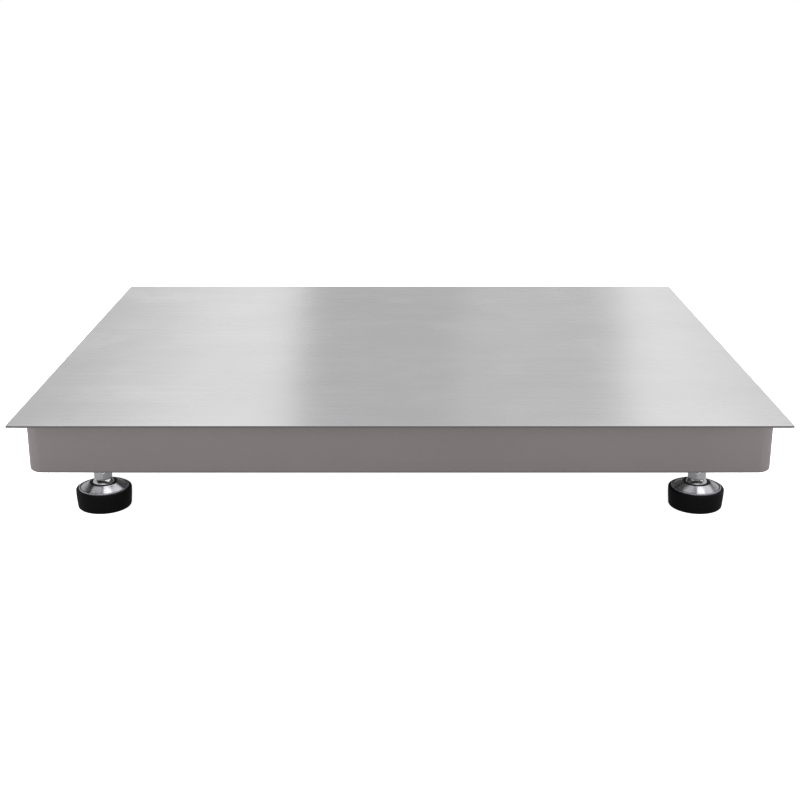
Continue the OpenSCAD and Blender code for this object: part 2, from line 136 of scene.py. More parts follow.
def make_lights():
    ceiling_strip("left_strip", -0.238, 0.185, 2.5, 0.47)
    ceiling_strip("left_haze", -0.500, 0.240, 8.0, 0.045)
    ceiling_strip("right_strip", 0.415, 0.165, -7.1, 0.49)
    ceiling_strip("right_haze", 0.240, 0.280, -4.0, 0.100)
    ceiling_strip("far_right_haze", 0.640, 0.200, -7.1, 0.08)
    area_light("key_softbox", (-2.2, -2.6, 3.2), (2.2, 2.2), (0, 0, 0.1), 6, seen_by="diffuse")
    area_light("fill_softbox", (2.8, -1.6, 2.2), (1.6, 2.4), (0, 0, 0.1), 3, seen_by="diffuse")
    area_light("top_softbox", (0, 0.4, 4.0), (4.0, 4.0), (0, 0, 0), 3, seen_by="diffuse")
    for corner in CORNERS:
        make_foot_glints(corner)


def make_foot_glints(corner):
    """Small panels level with the skirt's lower edge, which the bright parts of a foot reflect."""
    foot = foot_axis(corner)
    inwards = -math.copysign(1, foot.y)
    z = FRONT_LOW.z + 2.5 * MM
    panels = (("glint", 13, -12, 25, 26, 2.3), ("mid", -22, -5, 38, 30, 0.66),
              ("sheen", 44, 8, 44, 70, 0.95))
    for name, x, y, width, depth, radiance in panels:
        centre = foot + Vector((x * MM, inwards * y * MM, z))
        area_light(f"{corner}_{name}", centre, (width * MM, depth * MM), centre - Vector((0, 0, 1)),
                   radiance,
                   seen_by="glossy")


def make_world():
    world = bpy.data.worlds.new("studio")
    SCENE.world = world
    world.use_nodes = True
    tree = world.node_tree
    tree.nodes.clear()
    out = tree.nodes.new("ShaderNodeOutputWorld")
    seen = tree.nodes.new("ShaderNodeBackground")
    seen.inputs["Color"].default_value = (1, 1, 1, 1)
    walls = tree.nodes.new("ShaderNodeBackground")
    choose = tree.nodes.new("ShaderNodeMixShader")
    path = tree.nodes.new("ShaderNodeLightPath")
    place = tree.nodes.new("ShaderNodeTexCoord")
    split = tree.nodes.new("ShaderNodeSeparateXYZ")
    ramp = tree.nodes.new("ShaderNodeValToRGB")
    tree.links.new(place.outputs["Generated"], split.inputs[0])
    tree.links.new(split.outputs["Z"], ramp.inputs["Fac"])
    stops = ramp.color_ramp.elements
    stops[0].position, stops[0].color = 0.0, (0.54, 0.54, 0.545, 1)
    stops[1].position, stops[1].color = 0.8, (0.90, 0.90, 0.91, 1)
    for position, level in ((0.16, 0.56), (0.36, 0.475)):
        stops.new(position).color = (level, level, level * 1.01, 1)
    tree.links.new(ramp.outputs["Color"], walls.inputs["Color"])
    tree.links.new(path.outputs["Is Camera Ray"], choose.inputs["Fac"])
    tree.links.new(walls.outputs[0], choose.inputs[1])
    tree.links.new(seen.outputs[0], choose.inputs[2])
    tree.links.new(choose.outputs[0], out.inputs["Surface"])


def make_floor():
    """A pale floor, clear from below, with its shadows lifted to the camera; dim in reflections."""
    mesh = bpy.data.meshes.new("studio_floor")
    half = 60
    mesh.from_pydata([(-half, -half, 0), (half, -half, 0), (half, half, 0), (-half, half, 0)],
                     [], [(0, 1, 2, 3)])
    floor = bpy.data.objects.new("studio_floor", mesh)
    SCENE.collection.objects.link(floor)
    material = bpy.data.materials.new("pale_floor")
    material.use_nodes = True
    tree = material.node_tree
    shader = tree.nodes["Principled BSDF"]
    n = Nodes(tree)
    path = tree.nodes.new("ShaderNodeLightPath")
    split = tree.nodes.new("ShaderNodeSeparateXYZ")
    n.join(tree.nodes.new("ShaderNodeTexCoord").outputs["Object"], split.inputs[0])
    sides = n.remap(n.math("ABSOLUTE", split.outputs["X"]), 0.50, 0.74, FLOOR_MIRRORED,
                    FLOOR_MIRRORED * 1.7)
    level = n.remap(path.outputs["Is Glossy Ray"], 0.0, 1.0, FLOOR_SEEN, sides)
    n.join(level, shader.inputs["Base Color"])
    lift = n.remap(path.outputs["Is Camera Ray"], 0.0, 1.0, FLOOR_GLOW, FLOOR_LIFT)
    n.join(lift, shader.inputs["Emission Strength"])
    shader.inputs["Emission Color"].default_value = (1, 1, 1, 1)
    shader.inputs["Roughness"].default_value = 0.9
    shader.inputs["Specular IOR Level"].default_value = 0
    clear = tree.nodes.new("ShaderNodeBsdfTransparent")
    sides_of = tree.nodes.new("ShaderNodeMixShader")
    n.join(tree.nodes.new("ShaderNodeNewGeometry").outputs["Backfacing"], sides_of.inputs[0])
    n.join(shader.outputs[0], sides_of.inputs[1])
    n.join(clear.outputs[0], sides_of.inputs[2])
    n.join(sides_of.outputs[0], tree.nodes["Material Output"].inputs["Surface"])
    mesh.materials.append(material)


# ---------- shader groups ----------

def new_group(name, where, numbers, *results):
    """A shader group: a vector input called where, numbers with their defaults, and results."""
    group = bpy.data.node_groups.new(name, "ShaderNodeTree")
    face = group.interface
    face.new_socket(where, in_out="INPUT", socket_type="NodeSocketVector")
    for label, default in numbers.items():
        face.new_socket(label, in_out="INPUT",
                        socket_type="NodeSocketFloat").default_value = default
    for label in results:
        face.new_socket(label, in_out="OUTPUT", socket_type="NodeSocketFloat")
    given, out = group.nodes.new("NodeGroupInput"), group.nodes.new("NodeGroupOutput")
    return Nodes(group), given.outputs, out.inputs


class Nodes:
    """Short ways to add and join nodes in one tree."""

    def __init__(self, tree):
        self.tree = tree

    def join(self, value, socket):
        if isinstance(value, bpy.types.NodeSocket):
            self.tree.links.new(value, socket)
        else:
            socket.default_value = value

    def math(self, operation, a, b=0.0, clamp=False):
        node = self.tree.nodes.new("ShaderNodeMath")
        node.operation = operation
        node.use_clamp = clamp
        self.join(a, node.inputs[0])
        self.join(b, node.inputs[1])
        return node.outputs[0]

    def vector(self, operation, a, b=(0, 0, 0)):
        node = self.tree.nodes.new("ShaderNodeVectorMath")
        node.operation = operation
        self.join(a, node.inputs[0])
        self.join(b, node.inputs[1])
        return node.outputs[0]

    def combine(self, x=0.0, y=0.0, z=0.0):
        node = self.tree.nodes.new("ShaderNodeCombineXYZ")
        for value, socket in zip((x, y, z), node.inputs):
            self.join(value, socket)
        return node.outputs[0]

    def noise(self, vector, scale, detail=2.0, roughness=0.5):
        node = self.tree.nodes.new("ShaderNodeTexNoise")
        self.join(vector, node.inputs["Vector"])
        self.join(scale, node.inputs["Scale"])
        node.inputs["Detail"].default_value = detail
        node.inputs["Roughness"].default_value = roughness
        return node.outputs["Fac"]

    def cells(self, vector, scale):
        node = self.tree.nodes.new("ShaderNodeTexVoronoi")
        self.join(vector, node.inputs["Vector"])
        self.join(scale, node.inputs["Scale"])
        return node.outputs["Distance"]

    def remap(self, value, low, high, to_low=0.0, to_high=1.0, smooth=False):
        node = self.tree.nodes.new("ShaderNodeMapRange")
        if smooth:
            node.interpolation_type = "SMOOTHSTEP"
        self.join(value, node.inputs["Value"])
        for label, bound in (("From Min", low), ("From Max", high), ("To Min", to_low),
                             ("To Max", to_high)):
            self.join(bound, node.inputs[label])
        return node.outputs["Result"]

    def blend(self, share, a, b):
        node = self.tree.nodes.new("ShaderNodeMix")
        node.data_type = "RGBA"
        self.join(share, node.inputs[0])
        self.join(a, node.inputs[6])
        self.join(b, node.inputs[7])
        return node.outputs[2]

    def bump(self, height, distance, strength=1.0, normal=None):
        node = self.tree.nodes.new("ShaderNodeBump")
        node.inputs["Strength"].default_value = strength
        node.inputs["Distance"].default_value = distance
        self.join(height, node.inputs["Height"])
        if normal is not None:
            self.join(normal, node.inputs["Normal"])
        return node.outputs["Normal"]

    def use(self, group, **inputs):
        node = self.tree.nodes.new("ShaderNodeGroup")
        node.node_tree = group
        for label, value in inputs.items():
            self.join(value, node.inputs[label.replace("_", " ")])
        return node.outputs


def make_line_group():
    """Fine parallel lines of a brushed or turned metal, of three widths."""
    n, given, out = new_group("metal_lines", "Map", {"Line Width": 0.0008, "Line Length": 0.12},
                              "Lines", "Scratches")
    across = n.math("DIVIDE", 1.0, given["Line Width"])
    along = n.math("DIVIDE", 1.0, given["Line Length"])
    wide = n.noise(n.vector("MULTIPLY", given["Map"], n.combine(across, along)), 0.45, 2.0)
    fine_scale = n.combine(n.math("MULTIPLY", across, 3.1), n.math("MULTIPLY", along, 1.7))
    fine = n.noise(n.vector("MULTIPLY", given["Map"], fine_scale), 1.0, 2.0)
    lines = n.math("ADD", n.math("MULTIPLY", wide, 0.6), n.math("MULTIPLY", fine, 0.4))
    rare_scale = n.combine(n.math("MULTIPLY", across, 1.3), n.math("MULTIPLY", along, 2.3))
    rare = n.noise(n.vector("MULTIPLY", given["Map"], rare_scale), 0.7, 1.0)
    n.join(lines, out["Lines"])
    n.join(n.remap(rare, 0.70, 0.82), out["Scratches"])
    return n.tree


def make_smudge_group():
    """Soft patches left by wiping and handling."""
    n, given, out = new_group("wipe_marks", "Place", {"Size": 0.15}, "Patches", "Clouds")
    scale = n.math("DIVIDE", 1.0, given["Size"])
    clouds = n.noise(given["Place"], scale, 2.0, 0.45)
    patches = n.noise(given["Place"], n.math("MULTIPLY", scale, 1.7), 2.0, 0.5)
    n.join(n.remap(clouds, 0.3, 0.7, smooth=True), out["Clouds"])
    n.join(n.remap(patches, 0.48, 0.78, smooth=True), out["Patches"])
    return n.tree


def make_wear_group():
    """Where edges and corners are rubbed, broken up by noise."""
    n, given, out = new_group("edge_wear", "Place", {"Spread": 0.06}, "Edges")
    shape = n.tree.nodes.new("ShaderNodeNewGeometry")
    top = n.math("ADD", 0.5, given["Spread"])
    edge = n.remap(shape.outputs["Pointiness"], 0.505, top)
    broken = n.remap(n.noise(given["Place"], 320.0, 4.0, 0.6), 0.35, 0.65)
    n.join(n.math("MULTIPLY", edge, broken), out["Edges"])
    return n.tree


def make_grain_group():
    """Skin of moulded rubber or plastic: a fine pebble and a slower mottle."""
    n, given, out = new_group("moulded_grain", "Place", {"Grain": 0.0006}, "Height", "Mottle")
    scale = n.math("DIVIDE", 1.0, given["Grain"])
    pebble = n.math("SUBTRACT", 1.0, n.cells(given["Place"], scale))
    rough = n.noise(given["Place"], n.math("MULTIPLY", scale, 1.9), 2.0)
    height = n.math("ADD", n.math("MULTIPLY", pebble, 0.6), n.math("MULTIPLY", rough, 0.4))
    n.join(height, out["Height"])
    n.join(n.noise(given["Place"], n.math("MULTIPLY", scale, 0.03), 3.0, 0.6), out["Mottle"])
    return n.tree


def make_dust_group():
    """Dust that settles on what faces up."""
    n, given, out = new_group("settled_dust", "Place", {"Amount": 0.3}, "Dust")
    shape = n.tree.nodes.new("ShaderNodeNewGeometry")
    split = n.tree.nodes.new("ShaderNodeSeparateXYZ")
    n.join(shape.outputs["Normal"], split.inputs[0])
    up = n.remap(split.outputs["Z"], 0.2, 0.95, smooth=True)
    cloud = n.remap(n.noise(given["Place"], 60.0, 5.0, 0.65), 0.35, 0.75)
    n.join(n.math("MULTIPLY", n.math("MULTIPLY", up, cloud), given["Amount"]), out["Dust"])
    return n.tree


LINES = make_line_group()
SMUDGES = make_smudge_group()
WEAR = make_wear_group()
GRAIN = make_grain_group()
DUST = make_dust_group()


# ---------- materials ----------

def shade(color, factor):
    return tuple(min(1.0, c * factor) for c in color[:3]) + (1.0,)


def start_material(name):
    """A material with its shader, its node helper, and the two maps that finishes read."""
    material = bpy.data.materials.new(name)
    material.use_nodes = True
    tree = material.node_tree
    shader = tree.nodes["Principled BSDF"]
    place = tree.nodes.new("ShaderNodeTexCoord").outputs["Object"]
    finish = tree.nodes.new("ShaderNodeUVMap")
    finish.uv_map = "finish"
    return material, shader, Nodes(tree), place, finish.outputs["UV"]


def grain_tangent(tree):
    tangent = tree.nodes.new("ShaderNodeTangent")
    tangent.direction_type = "UV_MAP"
    tangent.uv_map = "finish"
    return tangent.outputs["Tangent"]


def brushed_steel(name, color, roughness, line_width, line_length, contrast,
                  anisotropic=0.8, cut_edge_and_shade=None, waves=0.0, smudge=0.04):
    """Brushed or turned metal. The cut-edge colour, if given, goes on the sheet's upright faces:
    partly their sheared finish, partly painted shade.
    """
    material, shader, n, place, finish = start_material(name)
    lines = n.use(LINES, Map=finish, Line_Width=line_width, Line_Length=line_length)
    marks = n.use(SMUDGES, Place=place)
    worn = n.use(WEAR, Place=place)
    tone = n.blend(lines["Lines"], shade(color, 1 - contrast), shade(color, 1 + contrast))
    tone = n.blend(n.math("MULTIPLY", marks["Clouds"], 0.6), tone, shade(color, 0.93))
    tone = n.blend(n.math("MULTIPLY", worn["Edges"], 0.25), tone, shade(color, 1.35))
    rough = n.remap(lines["Lines"], 0.3, 0.7, roughness - 0.035, roughness + 0.035)
    rough = n.math("ADD", rough, n.math("MULTIPLY", marks["Patches"], smudge))
    rough = n.math("SUBTRACT", rough, n.math("MULTIPLY", lines["Scratches"], 0.02))
    # Upright faces darken towards this colour: part sheared-edge finish, part painted shade.
    if cut_edge_and_shade:
        shape = n.tree.nodes.new("ShaderNodeNewGeometry")
        split = n.tree.nodes.new("ShaderNodeSeparateXYZ")
        n.join(shape.outputs["Normal"], split.inputs[0])
        upright = n.remap(n.math("ABSOLUTE", split.outputs["Z"]), 0.55, 0.3)
        tone = n.blend(upright, tone, cut_edge_and_shade)
        rough = n.math("ADD", rough, n.math("MULTIPLY", upright, 0.1))
    n.join(tone, shader.inputs["Base Color"])
    n.join(rough, shader.inputs["Roughness"])
    normal = n.bump(lines["Lines"], 0.00002, 0.5)
    if waves:
        normal = n.bump(n.noise(place, 5.0, 1.0), waves, 1.0, normal)
    n.join(normal, shader.inputs["Normal"])
    shader.inputs["Metallic"].default_value = 1.0
    shader.inputs["Anisotropic"].default_value = anisotropic
    n.join(grain_tangent(n.tree), shader.inputs["Tangent"])
    return material


def plated_metal(name, color, roughness, grime=0.15):
    """Smooth plating over machined steel, with faint haze and rubbed edges."""
    material, shader, n, place, finish = start_material(name)
    lines = n.use(LINES, Map=finish, Line_Width=0.0005, Line_Length=0.3)
    marks = n.use(SMUDGES, Place=place, Size=0.03)
    worn = n.use(WEAR, Place=place)
    tone = n.blend(n.math("MULTIPLY", marks["Patches"], grime), shade(color, 1.0),
                   shade(color, 0.6))
    tone = n.blend(n.math("MULTIPLY", worn["Edges"], 0.3), tone, shade(color, 1.2))
    rough = n.remap(lines["Lines"], 0.3, 0.7, roughness - 0.02, roughness + 0.03)
    rough = n.math("ADD", rough, n.math("MULTIPLY", marks["Clouds"], 0.05))
    n.join(tone, shader.inputs["Base Color"])
    n.join(rough, shader.inputs["Roughness"])
    n.join(n.bump(lines["Lines"], 0.00001, 0.4), shader.inputs["Normal"])
    shader.inputs["Metallic"].default_value = 1.0
    return material


def moulded(name, color, roughness, grain, depth, dust=0.1, coat=0.0, gloss=0.5):
    """Moulded rubber or plastic."""
    material, shader, n, place, _ = start_material(name)
    skin = n.use(GRAIN, Place=place, Grain=grain)
    worn = n.use(WEAR, Place=place)
    dusty = n.use(DUST, Place=place, Amount=dust)
    tone = n.blend(skin["Mottle"], shade(color, 0.85), shade(color, 1.15))
    tone = n.blend(n.math("MULTIPLY", worn["Edges"], 0.3), tone, shade(color, 1.9))
    tone = n.blend(dusty["Dust"], tone, (0.30, 0.29, 0.27, 1))
    rough = n.remap(skin["Mottle"], 0.3, 0.7, roughness - 0.05, roughness + 0.05)
    rough = n.math("ADD", rough, n.math("MULTIPLY", dusty["Dust"], 0.3), True)
    n.join(tone, shader.inputs["Base Color"])
    n.join(rough, shader.inputs["Roughness"])
    n.join(n.bump(skin["Height"], depth, 0.6), shader.inputs["Normal"])
    shader.inputs["Specular IOR Level"].default_value = gloss
    shader.inputs["Coat Weight"].default_value = coat
    shader.inputs["Coat Roughness"].default_value = 0.25
    return material


# The dark colour passed for the deck's upright faces is partly painted shade.
DECK_STEEL = brushed_steel("deck_brushed_steel", (0.71, 0.703, 0.708), 0.26, 1.0 * MM, 0.22, 0.045,
                           0.9, (0.27, 0.265, 0.26, 1), 0.0006, smudge=0.025)
# The deck's stainless steel again, with a darker base colour: painted shade on the upright skirt
# faces.
SHADED_SKIRT_STEEL = brushed_steel("skirt_steel_painted_shade", (0.437, 0.394, 0.392), 0.40, 1.0 * MM, 0.20,
                            0.05, 0.7)
FRAME_STEEL = brushed_steel("frame_mill_steel", (0.42, 0.41, 0.40), 0.48, 1.5 * MM, 0.08, 0.08, 0.4,
                            smudge=0.12)
CELL_STEEL = brushed_steel("cell_nickel", (0.62, 0.62, 0.62), 0.34, 0.6 * MM, 0.03, 0.05, 0.5)
CONE_STEEL = brushed_steel("turned_foot_steel", (0.66, 0.66, 0.69), 0.26, 0.35 * MM, 0.09, 0.10,
                           0.85, smudge=0.05)
BRIGHT_PLATING = plated_metal("bright_plating", (0.78, 0.78, 0.80), 0.14)
ZINC = plated_metal("bright_zinc", (0.62, 0.63, 0.63), 0.28, 0.3)
CONNECTOR_METAL = plated_metal("connector_nickel", (0.66, 0.65, 0.62), 0.22)
PIN_GOLD = plated_metal("pin_gold", (0.85, 0.62, 0.26), 0.16)
FOOT_RUBBER = moulded("foot_rubber", (0.0022, 0.0022, 0.003), 0.5, 0.0009, 0.00003, 0.004,
                      gloss=0.16)
GASKET_RUBBER = moulded("gasket_rubber", (0.02, 0.02, 0.02), 0.8, 0.0005, 0.00006)
NYLON = moulded("black_nylon", (0.008, 0.008, 0.009), 0.42, 0.0004, 0.00002, 0.01, gloss=0.3)
BOX_PLASTIC = moulded("grey_box_plastic", (0.42, 0.44, 0.46), 0.5, 0.0007, 0.00005)
JACKET = moulded("cable_jacket", (0.022, 0.022, 0.025), 0.42, 0.0005, 0.00002)
TERMINAL = moulded("terminal_plastic", (0.03, 0.12, 0.30), 0.4, 0.0004, 0.00002, 0.03)
WELD_METAL = plated_metal("weld_metal", (0.36, 0.34, 0.33), 0.38, 0.5)
BOARD = moulded("board_laminate", (0.03, 0.16, 0.06), 0.35, 0.0012, 0.00003, 0.02, 0.5)


# ---------- mesh helpers ----------

def skin(bm, rings, finish=0, closed=True):
    """Faces between neighbouring rings of points. U runs from ring to ring, and V along them."""
    uv = bm.loops.layers.uv.verify()
    rings = [[Vector(p) for p in ring] for ring in rings]
    grid = [[bm.verts.new(p) for p in ring] for ring in rings]
    across = [0.0]
    for a, b in zip(rings, rings[1:]):
        across.append(across[-1] + max((p - q).length for p, q in zip(a, b)))
    widest = max(rings, key=lambda ring: sum((p - q).length for p, q in zip(ring, ring[1:])))
    along = [0.0]
    for p, q in zip(widest, widest[1:] + widest[:1]):
        along.append(along[-1] + (p - q).length)
    count = len(grid[0])
    for i in range(len(grid) - 1):
        for k in range(count if closed else count - 1):
            after = (k + 1) % count
            face = bm.faces.new((grid[i][k], grid[i][after], grid[i + 1][after], grid[i + 1][k]))
            face.smooth = True
            face.material_index = finish
            corners = ((i, k), (i, k + 1), (i + 1, k + 1), (i + 1, k))
            for loop, (row, column) in zip(face.loops, corners):
                loop[uv].uv = (across[row], along[column])
    return grid


def turned(bm, profile, sides, finish=0):
    """A profile of (radius, height) points turned about Z, closed where its ends meet the axis."""
    rings = []
    for radius, height in profile:
        rings.append([Vector((radius * math.cos(2 * math.pi * k / sides),
                              radius * math.sin(2 * math.pi * k / sides), height))
                      for k in range(sides)])
    skin(bm, rings, finish)


def arc(centre, radius, start, end, steps=8):
    """Points of a circle's arc in a profile, from start to end in degrees."""
    return [(centre[0] + radius * math.cos(math.radians(start + (end - start) * i / steps)),
             centre[1] + radius * math.sin(math.radians(start + (end - start) * i / steps)))
            for i in range(steps + 1)]


def rounded_outline(x, y, radius, steps):
    """A rectangle with rounded corners, whose arcs are centred at (+-x, +-y)."""
    outline = []
    for cx, cy, start in ((1, 1, 0), (-1, 1, 90), (-1, -1, 180), (1, -1, 270)):
        outline += arc((cx * x, cy * y), radius, start, start + 90, steps)
    return outline


def eased(profile, radius, steps=3):
    """The same profile with each inner corner rounded to about radius."""
    points = [Vector(p) for p in profile]
    result = [points[0]]
    for before, corner, after in zip(points, points[1:], points[2:]):
        back, ahead = before - corner, after - corner
        reach = min(radius, back.length * 0.45, ahead.length * 0.45)
        if reach < 1e-7 or back.normalized().dot(ahead.normalized()) < -0.985:
            result.append(corner)
            continue
        start, end = corner + back.normalized() * reach, corner + ahead.normalized() * reach
        for i in range(steps + 1):
            t = i / steps
            result.append(start * (1 - t) ** 2 + corner * 2 * t * (1 - t) + end * t * t)
    result.append(points[-1])
    return result


def hexagon_prism(bm, across_flats, bottom, height, bore=0.0, steps=8):
    """A nut's or head's hexagon with a corner towards Y, its corners turned off at 30 degrees."""
    flat, count = across_flats / 2, 6 * steps
    inner = flat - 0.3 * MM
    mouth = 0.4 * MM
    angles = [2 * math.pi * k / count for k in range(count)]
    reaches = [flat / math.cos((a + math.pi / 6) % (math.pi / 3) - math.pi / 6) for a in angles]
    chamfers = [(reach - inner) * math.tan(math.radians(30)) for reach in reaches]
    top = bottom + height

    def ring(radii, heights):
        return [(r * math.cos(a), r * math.sin(a), z) for r, a, z in zip(radii, angles, heights)]

    def circle(radius, z):
        return ring([radius] * count, [z] * count)

    rings = [circle(inner, bottom), ring(reaches, [bottom + c for c in chamfers]),
             ring(reaches, [top - c for c in chamfers]), circle(inner, top)]
    if bore:
        rings = ([circle(bore, bottom + mouth), circle(bore + mouth, bottom)] + rings
                 + [circle(bore + mouth, top), circle(bore, top - mouth),
                    circle(bore, bottom + mouth)])
    else:
        rings = [circle(0, bottom)] + rings + [circle(0, top)]
    skin(bm, rings)


def thread(bm, low, high, radius, pitch, sides=40):
    """A right-hand external thread between two heights, closed at both ends."""
    depth = 0.61 * pitch
    core = radius - depth
    shape = ((0.0, 0.0), (0.12, 0.0), (0.44, 1.0), (0.56, 1.0), (0.88, 0.0))
    per_turn = len(shape)
    turns = int(math.ceil((high - low) / pitch)) + 1
    rows = []
    for row in range(turns * per_turn + 1):
        turn, step = divmod(row, per_turn)
        share, rise = shape[step]
        ring = []
        for k in range(sides + 1):
            angle = 2 * math.pi * k / sides
            z = low + pitch * (turn - 1 + share + k / sides)
            fade = max(0.0, min(1.0, (z - low) / pitch, (high - z) / (1.5 * pitch)))
            r = core + depth * rise * fade
            ring.append((r * math.cos(angle), r * math.sin(angle), min(max(z, low), high)))
        rows.append(ring)
    skin(bm, rows, closed=False)
    for z in (low, high):
        turned(bm, [(core, z), (0, z)], sides)


def as_mesh(bm, name, materials, sharp=32):
    """Merges doubles, turns faces outwards and marks edges sharper than the angle."""
    bmesh.ops.remove_doubles(bm, verts=bm.verts, dist=2e-6)
    bmesh.ops.dissolve_degenerate(bm, edges=bm.edges, dist=1e-7)
    bmesh.ops.recalc_face_normals(bm, faces=bm.faces)
    mesh = bpy.data.meshes.new(name)
    bm.to_mesh(mesh)
    bm.free()
    if mesh.uv_layers:
        mesh.uv_layers[0].name = "finish"
    for material in materials:
        mesh.materials.append(material)
    mesh.set_sharp_from_angle(angle=math.radians(sharp))
    return mesh


def add_piece(name, mesh, body, slot, *nodes):
    """Puts a finished mesh in the scene as a piece on a body, in place of CAD nodes."""
    piece = bpy.data.objects.new(name, mesh)
    SCENE.collection.objects.link(piece)
    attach(piece, body)
    if nodes:
        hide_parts(*nodes)


def on_platform(name, mesh, node, stands_in=True):
    """A piece of the platform, in a CAD node's place or beside it."""
    add_piece(name, mesh, PLATFORM, SLOTS[node], *([node] if stands_in else []))


def placed(mesh, name, place):
    copy = mesh.copy()
    copy.name = name
    copy.transform(place)
    return copy


def box_mapped(bm, along="X"):
    """UVs in metres on flat faces, with V along the given axis where the face allows it."""
    uv = bm.loops.layers.uv.verify()
    main = {"X": Vector((1, 0, 0)), "Y": Vector((0, 1, 0)), "Z": Vector((0, 0, 1))}[along]
    spare = Vector((0, 0, 1)) if along != "Z" else Vector((1, 0, 0))
    for face in bm.faces:
        lines = main if abs(face.normal.dot(main)) < 0.7 else spare
        lines = (lines - face.normal * lines.dot(face.normal)).normalized()
        across = face.normal.cross(lines)
        for loop in face.loops:
            loop[uv].uv = (loop.vert.co.dot(across), loop.vert.co.dot(lines))


def softened_node(node, piece_name, material, along, edge, segments=2):
    """A CAD node's own shape with its edges rounded, as a finished piece in its place."""
    source = frame["nodes"][node]
    bm = bmesh.new()
    bm.from_mesh(source.data)
    bmesh.ops.remove_doubles(bm, verts=bm.verts, dist=1e-6)
    bmesh.ops.dissolve_limit(bm, angle_limit=math.radians(0.4), verts=bm.verts, edges=bm.edges)
    sharp = [e for e in bm.edges if len(e.link_faces) == 2
             and e.calc_face_angle(0) > math.radians(28)]
    bmesh.ops.bevel(bm, geom=sharp, offset=edge, segments=segments, profile=0.6,
                    affect="EDGES", clamp_overlap=True)
    for face in bm.faces:
        face.smooth = True
        face.material_index = 0
    bm.normal_update()
    box_mapped(bm, along)
    mesh = bpy.data.meshes.new(piece_name)
    bm.to_mesh(mesh)
    bm.free()
    mesh.uv_layers[0].name = "finish"
    mesh.materials.append(material)
    mesh.set_sharp_from_angle(angle=math.radians(40))
    add_piece(piece_name, mesh, source["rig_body"], SLOTS[node], node)


SLOTS = {row["node"]: row["material_slot"] for row in frame["record"]["subparts"]}

# ---------- geometry trees: what repeats or follows a path ----------

class Growth(Nodes):
    """A geometry tree with named inputs, and short ways to add nodes to it."""

    def __init__(self, name, *inputs):
        super().__init__(bpy.data.node_groups.new(name, "GeometryNodeTree"))
        face = self.tree.interface
        face.new_socket("Geometry", in_out="INPUT", socket_type="NodeSocketGeometry")
        for label, kind, default in inputs + (("Material", "NodeSocketMaterial", None),):
            socket = face.new_socket(label, in_out="INPUT", socket_type=kind)
            if default is not None:
                socket.default_value = default
        face.new_socket("Geometry", in_out="OUTPUT", socket_type="NodeSocketGeometry")
        self.given = self.tree.nodes.new("NodeGroupInput").outputs

    def node(self, kind, links, **settings):
        node = self.tree.nodes.new(kind)
        for label, value in settings.items():
            setattr(node, label, value)
        for label, value in links.items():
            self.join(value, node.inputs[label])
        return node.outputs

    def turn(self, angle):
        """A rotation about Z."""
        axes = self.node("ShaderNodeCombineXYZ", {"Z": angle})[0]
        return self.node("FunctionNodeEulerToRotation", {"Euler": axes})[0]

    def random(self, low, high, seed):
        node = self.tree.nodes.new("FunctionNodeRandomValue")
        node.data_type = "FLOAT"
        sockets = {socket.identifier: socket for socket in node.inputs}
        sockets["Min_001"].default_value, sockets["Max_001"].default_value = low, high
        self.tree.links.new(seed, sockets["Seed"])
        return next(socket for socket in node.outputs if socket.enabled)

    def finish(self, geometry):
        """Every tree ends in plain smooth faces with the given material."""
        plain = self.node("GeometryNodeRealizeInstances", {"Geometry": geometry})[0]
        smooth = self.node("GeometryNodeSetShadeSmooth", {"Geometry": plain})[0]
        painted = self.node("GeometryNodeSetMaterial",
                            {"Geometry": smooth, "Material": self.given["Material"]})[0]
        self.tree.links.new(painted, self.tree.nodes.new("NodeGroupOutput").inputs[0])
        return self.tree


def placing_tree():
    """One part on each point, turned as its "facing" says and spun at random about its axis."""
    g = Growth("set_out_parts", ("Part", "NodeSocketObject", None),
               ("Spin", "NodeSocketFloat", 0.0),
               ("Seed", "NodeSocketInt", 1))
    part = g.node("GeometryNodeObjectInfo",
                  {"Object": g.given["Part"], "As Instance": True})["Geometry"]
    facing = g.node("GeometryNodeInputNamedAttribute", {"Name": "facing"},
                    data_type="FLOAT_VECTOR")["Attribute"]
    rotation = g.node("FunctionNodeEulerToRotation", {"Euler": facing})[0]
    parts = g.node("GeometryNodeInstanceOnPoints",
                   {"Points": g.given["Geometry"], "Instance": part, "Rotation": rotation})[0]
    spin = g.math("MULTIPLY", g.random(-1.0, 1.0, g.given["Seed"]), g.given["Spin"])
    spun = g.node("GeometryNodeRotateInstances", {"Instances": parts, "Rotation": g.turn(spin)})[0]
    return g.finish(spun)


def ring_tree():
    """Copies of a part round Z, each facing outwards."""
    g = Growth("ring_of_parts", ("Part", "NodeSocketObject", None), ("Count", "NodeSocketInt", 6),
               ("Radius", "NodeSocketFloat", 0.01))
    part = g.node("GeometryNodeObjectInfo",
                  {"Object": g.given["Part"], "As Instance": True})["Geometry"]
    ring = g.node("GeometryNodeMeshCircle",
                  {"Vertices": g.given["Count"], "Radius": g.given["Radius"]})[0]
    step = g.math("DIVIDE", 2 * math.pi, g.given["Count"])
    angle = g.math("MULTIPLY", g.node("GeometryNodeInputIndex", {})[0], step)
    return g.finish(g.node("GeometryNodeInstanceOnPoints",
                           {"Points": ring, "Instance": part, "Rotation": g.turn(angle)})[0])


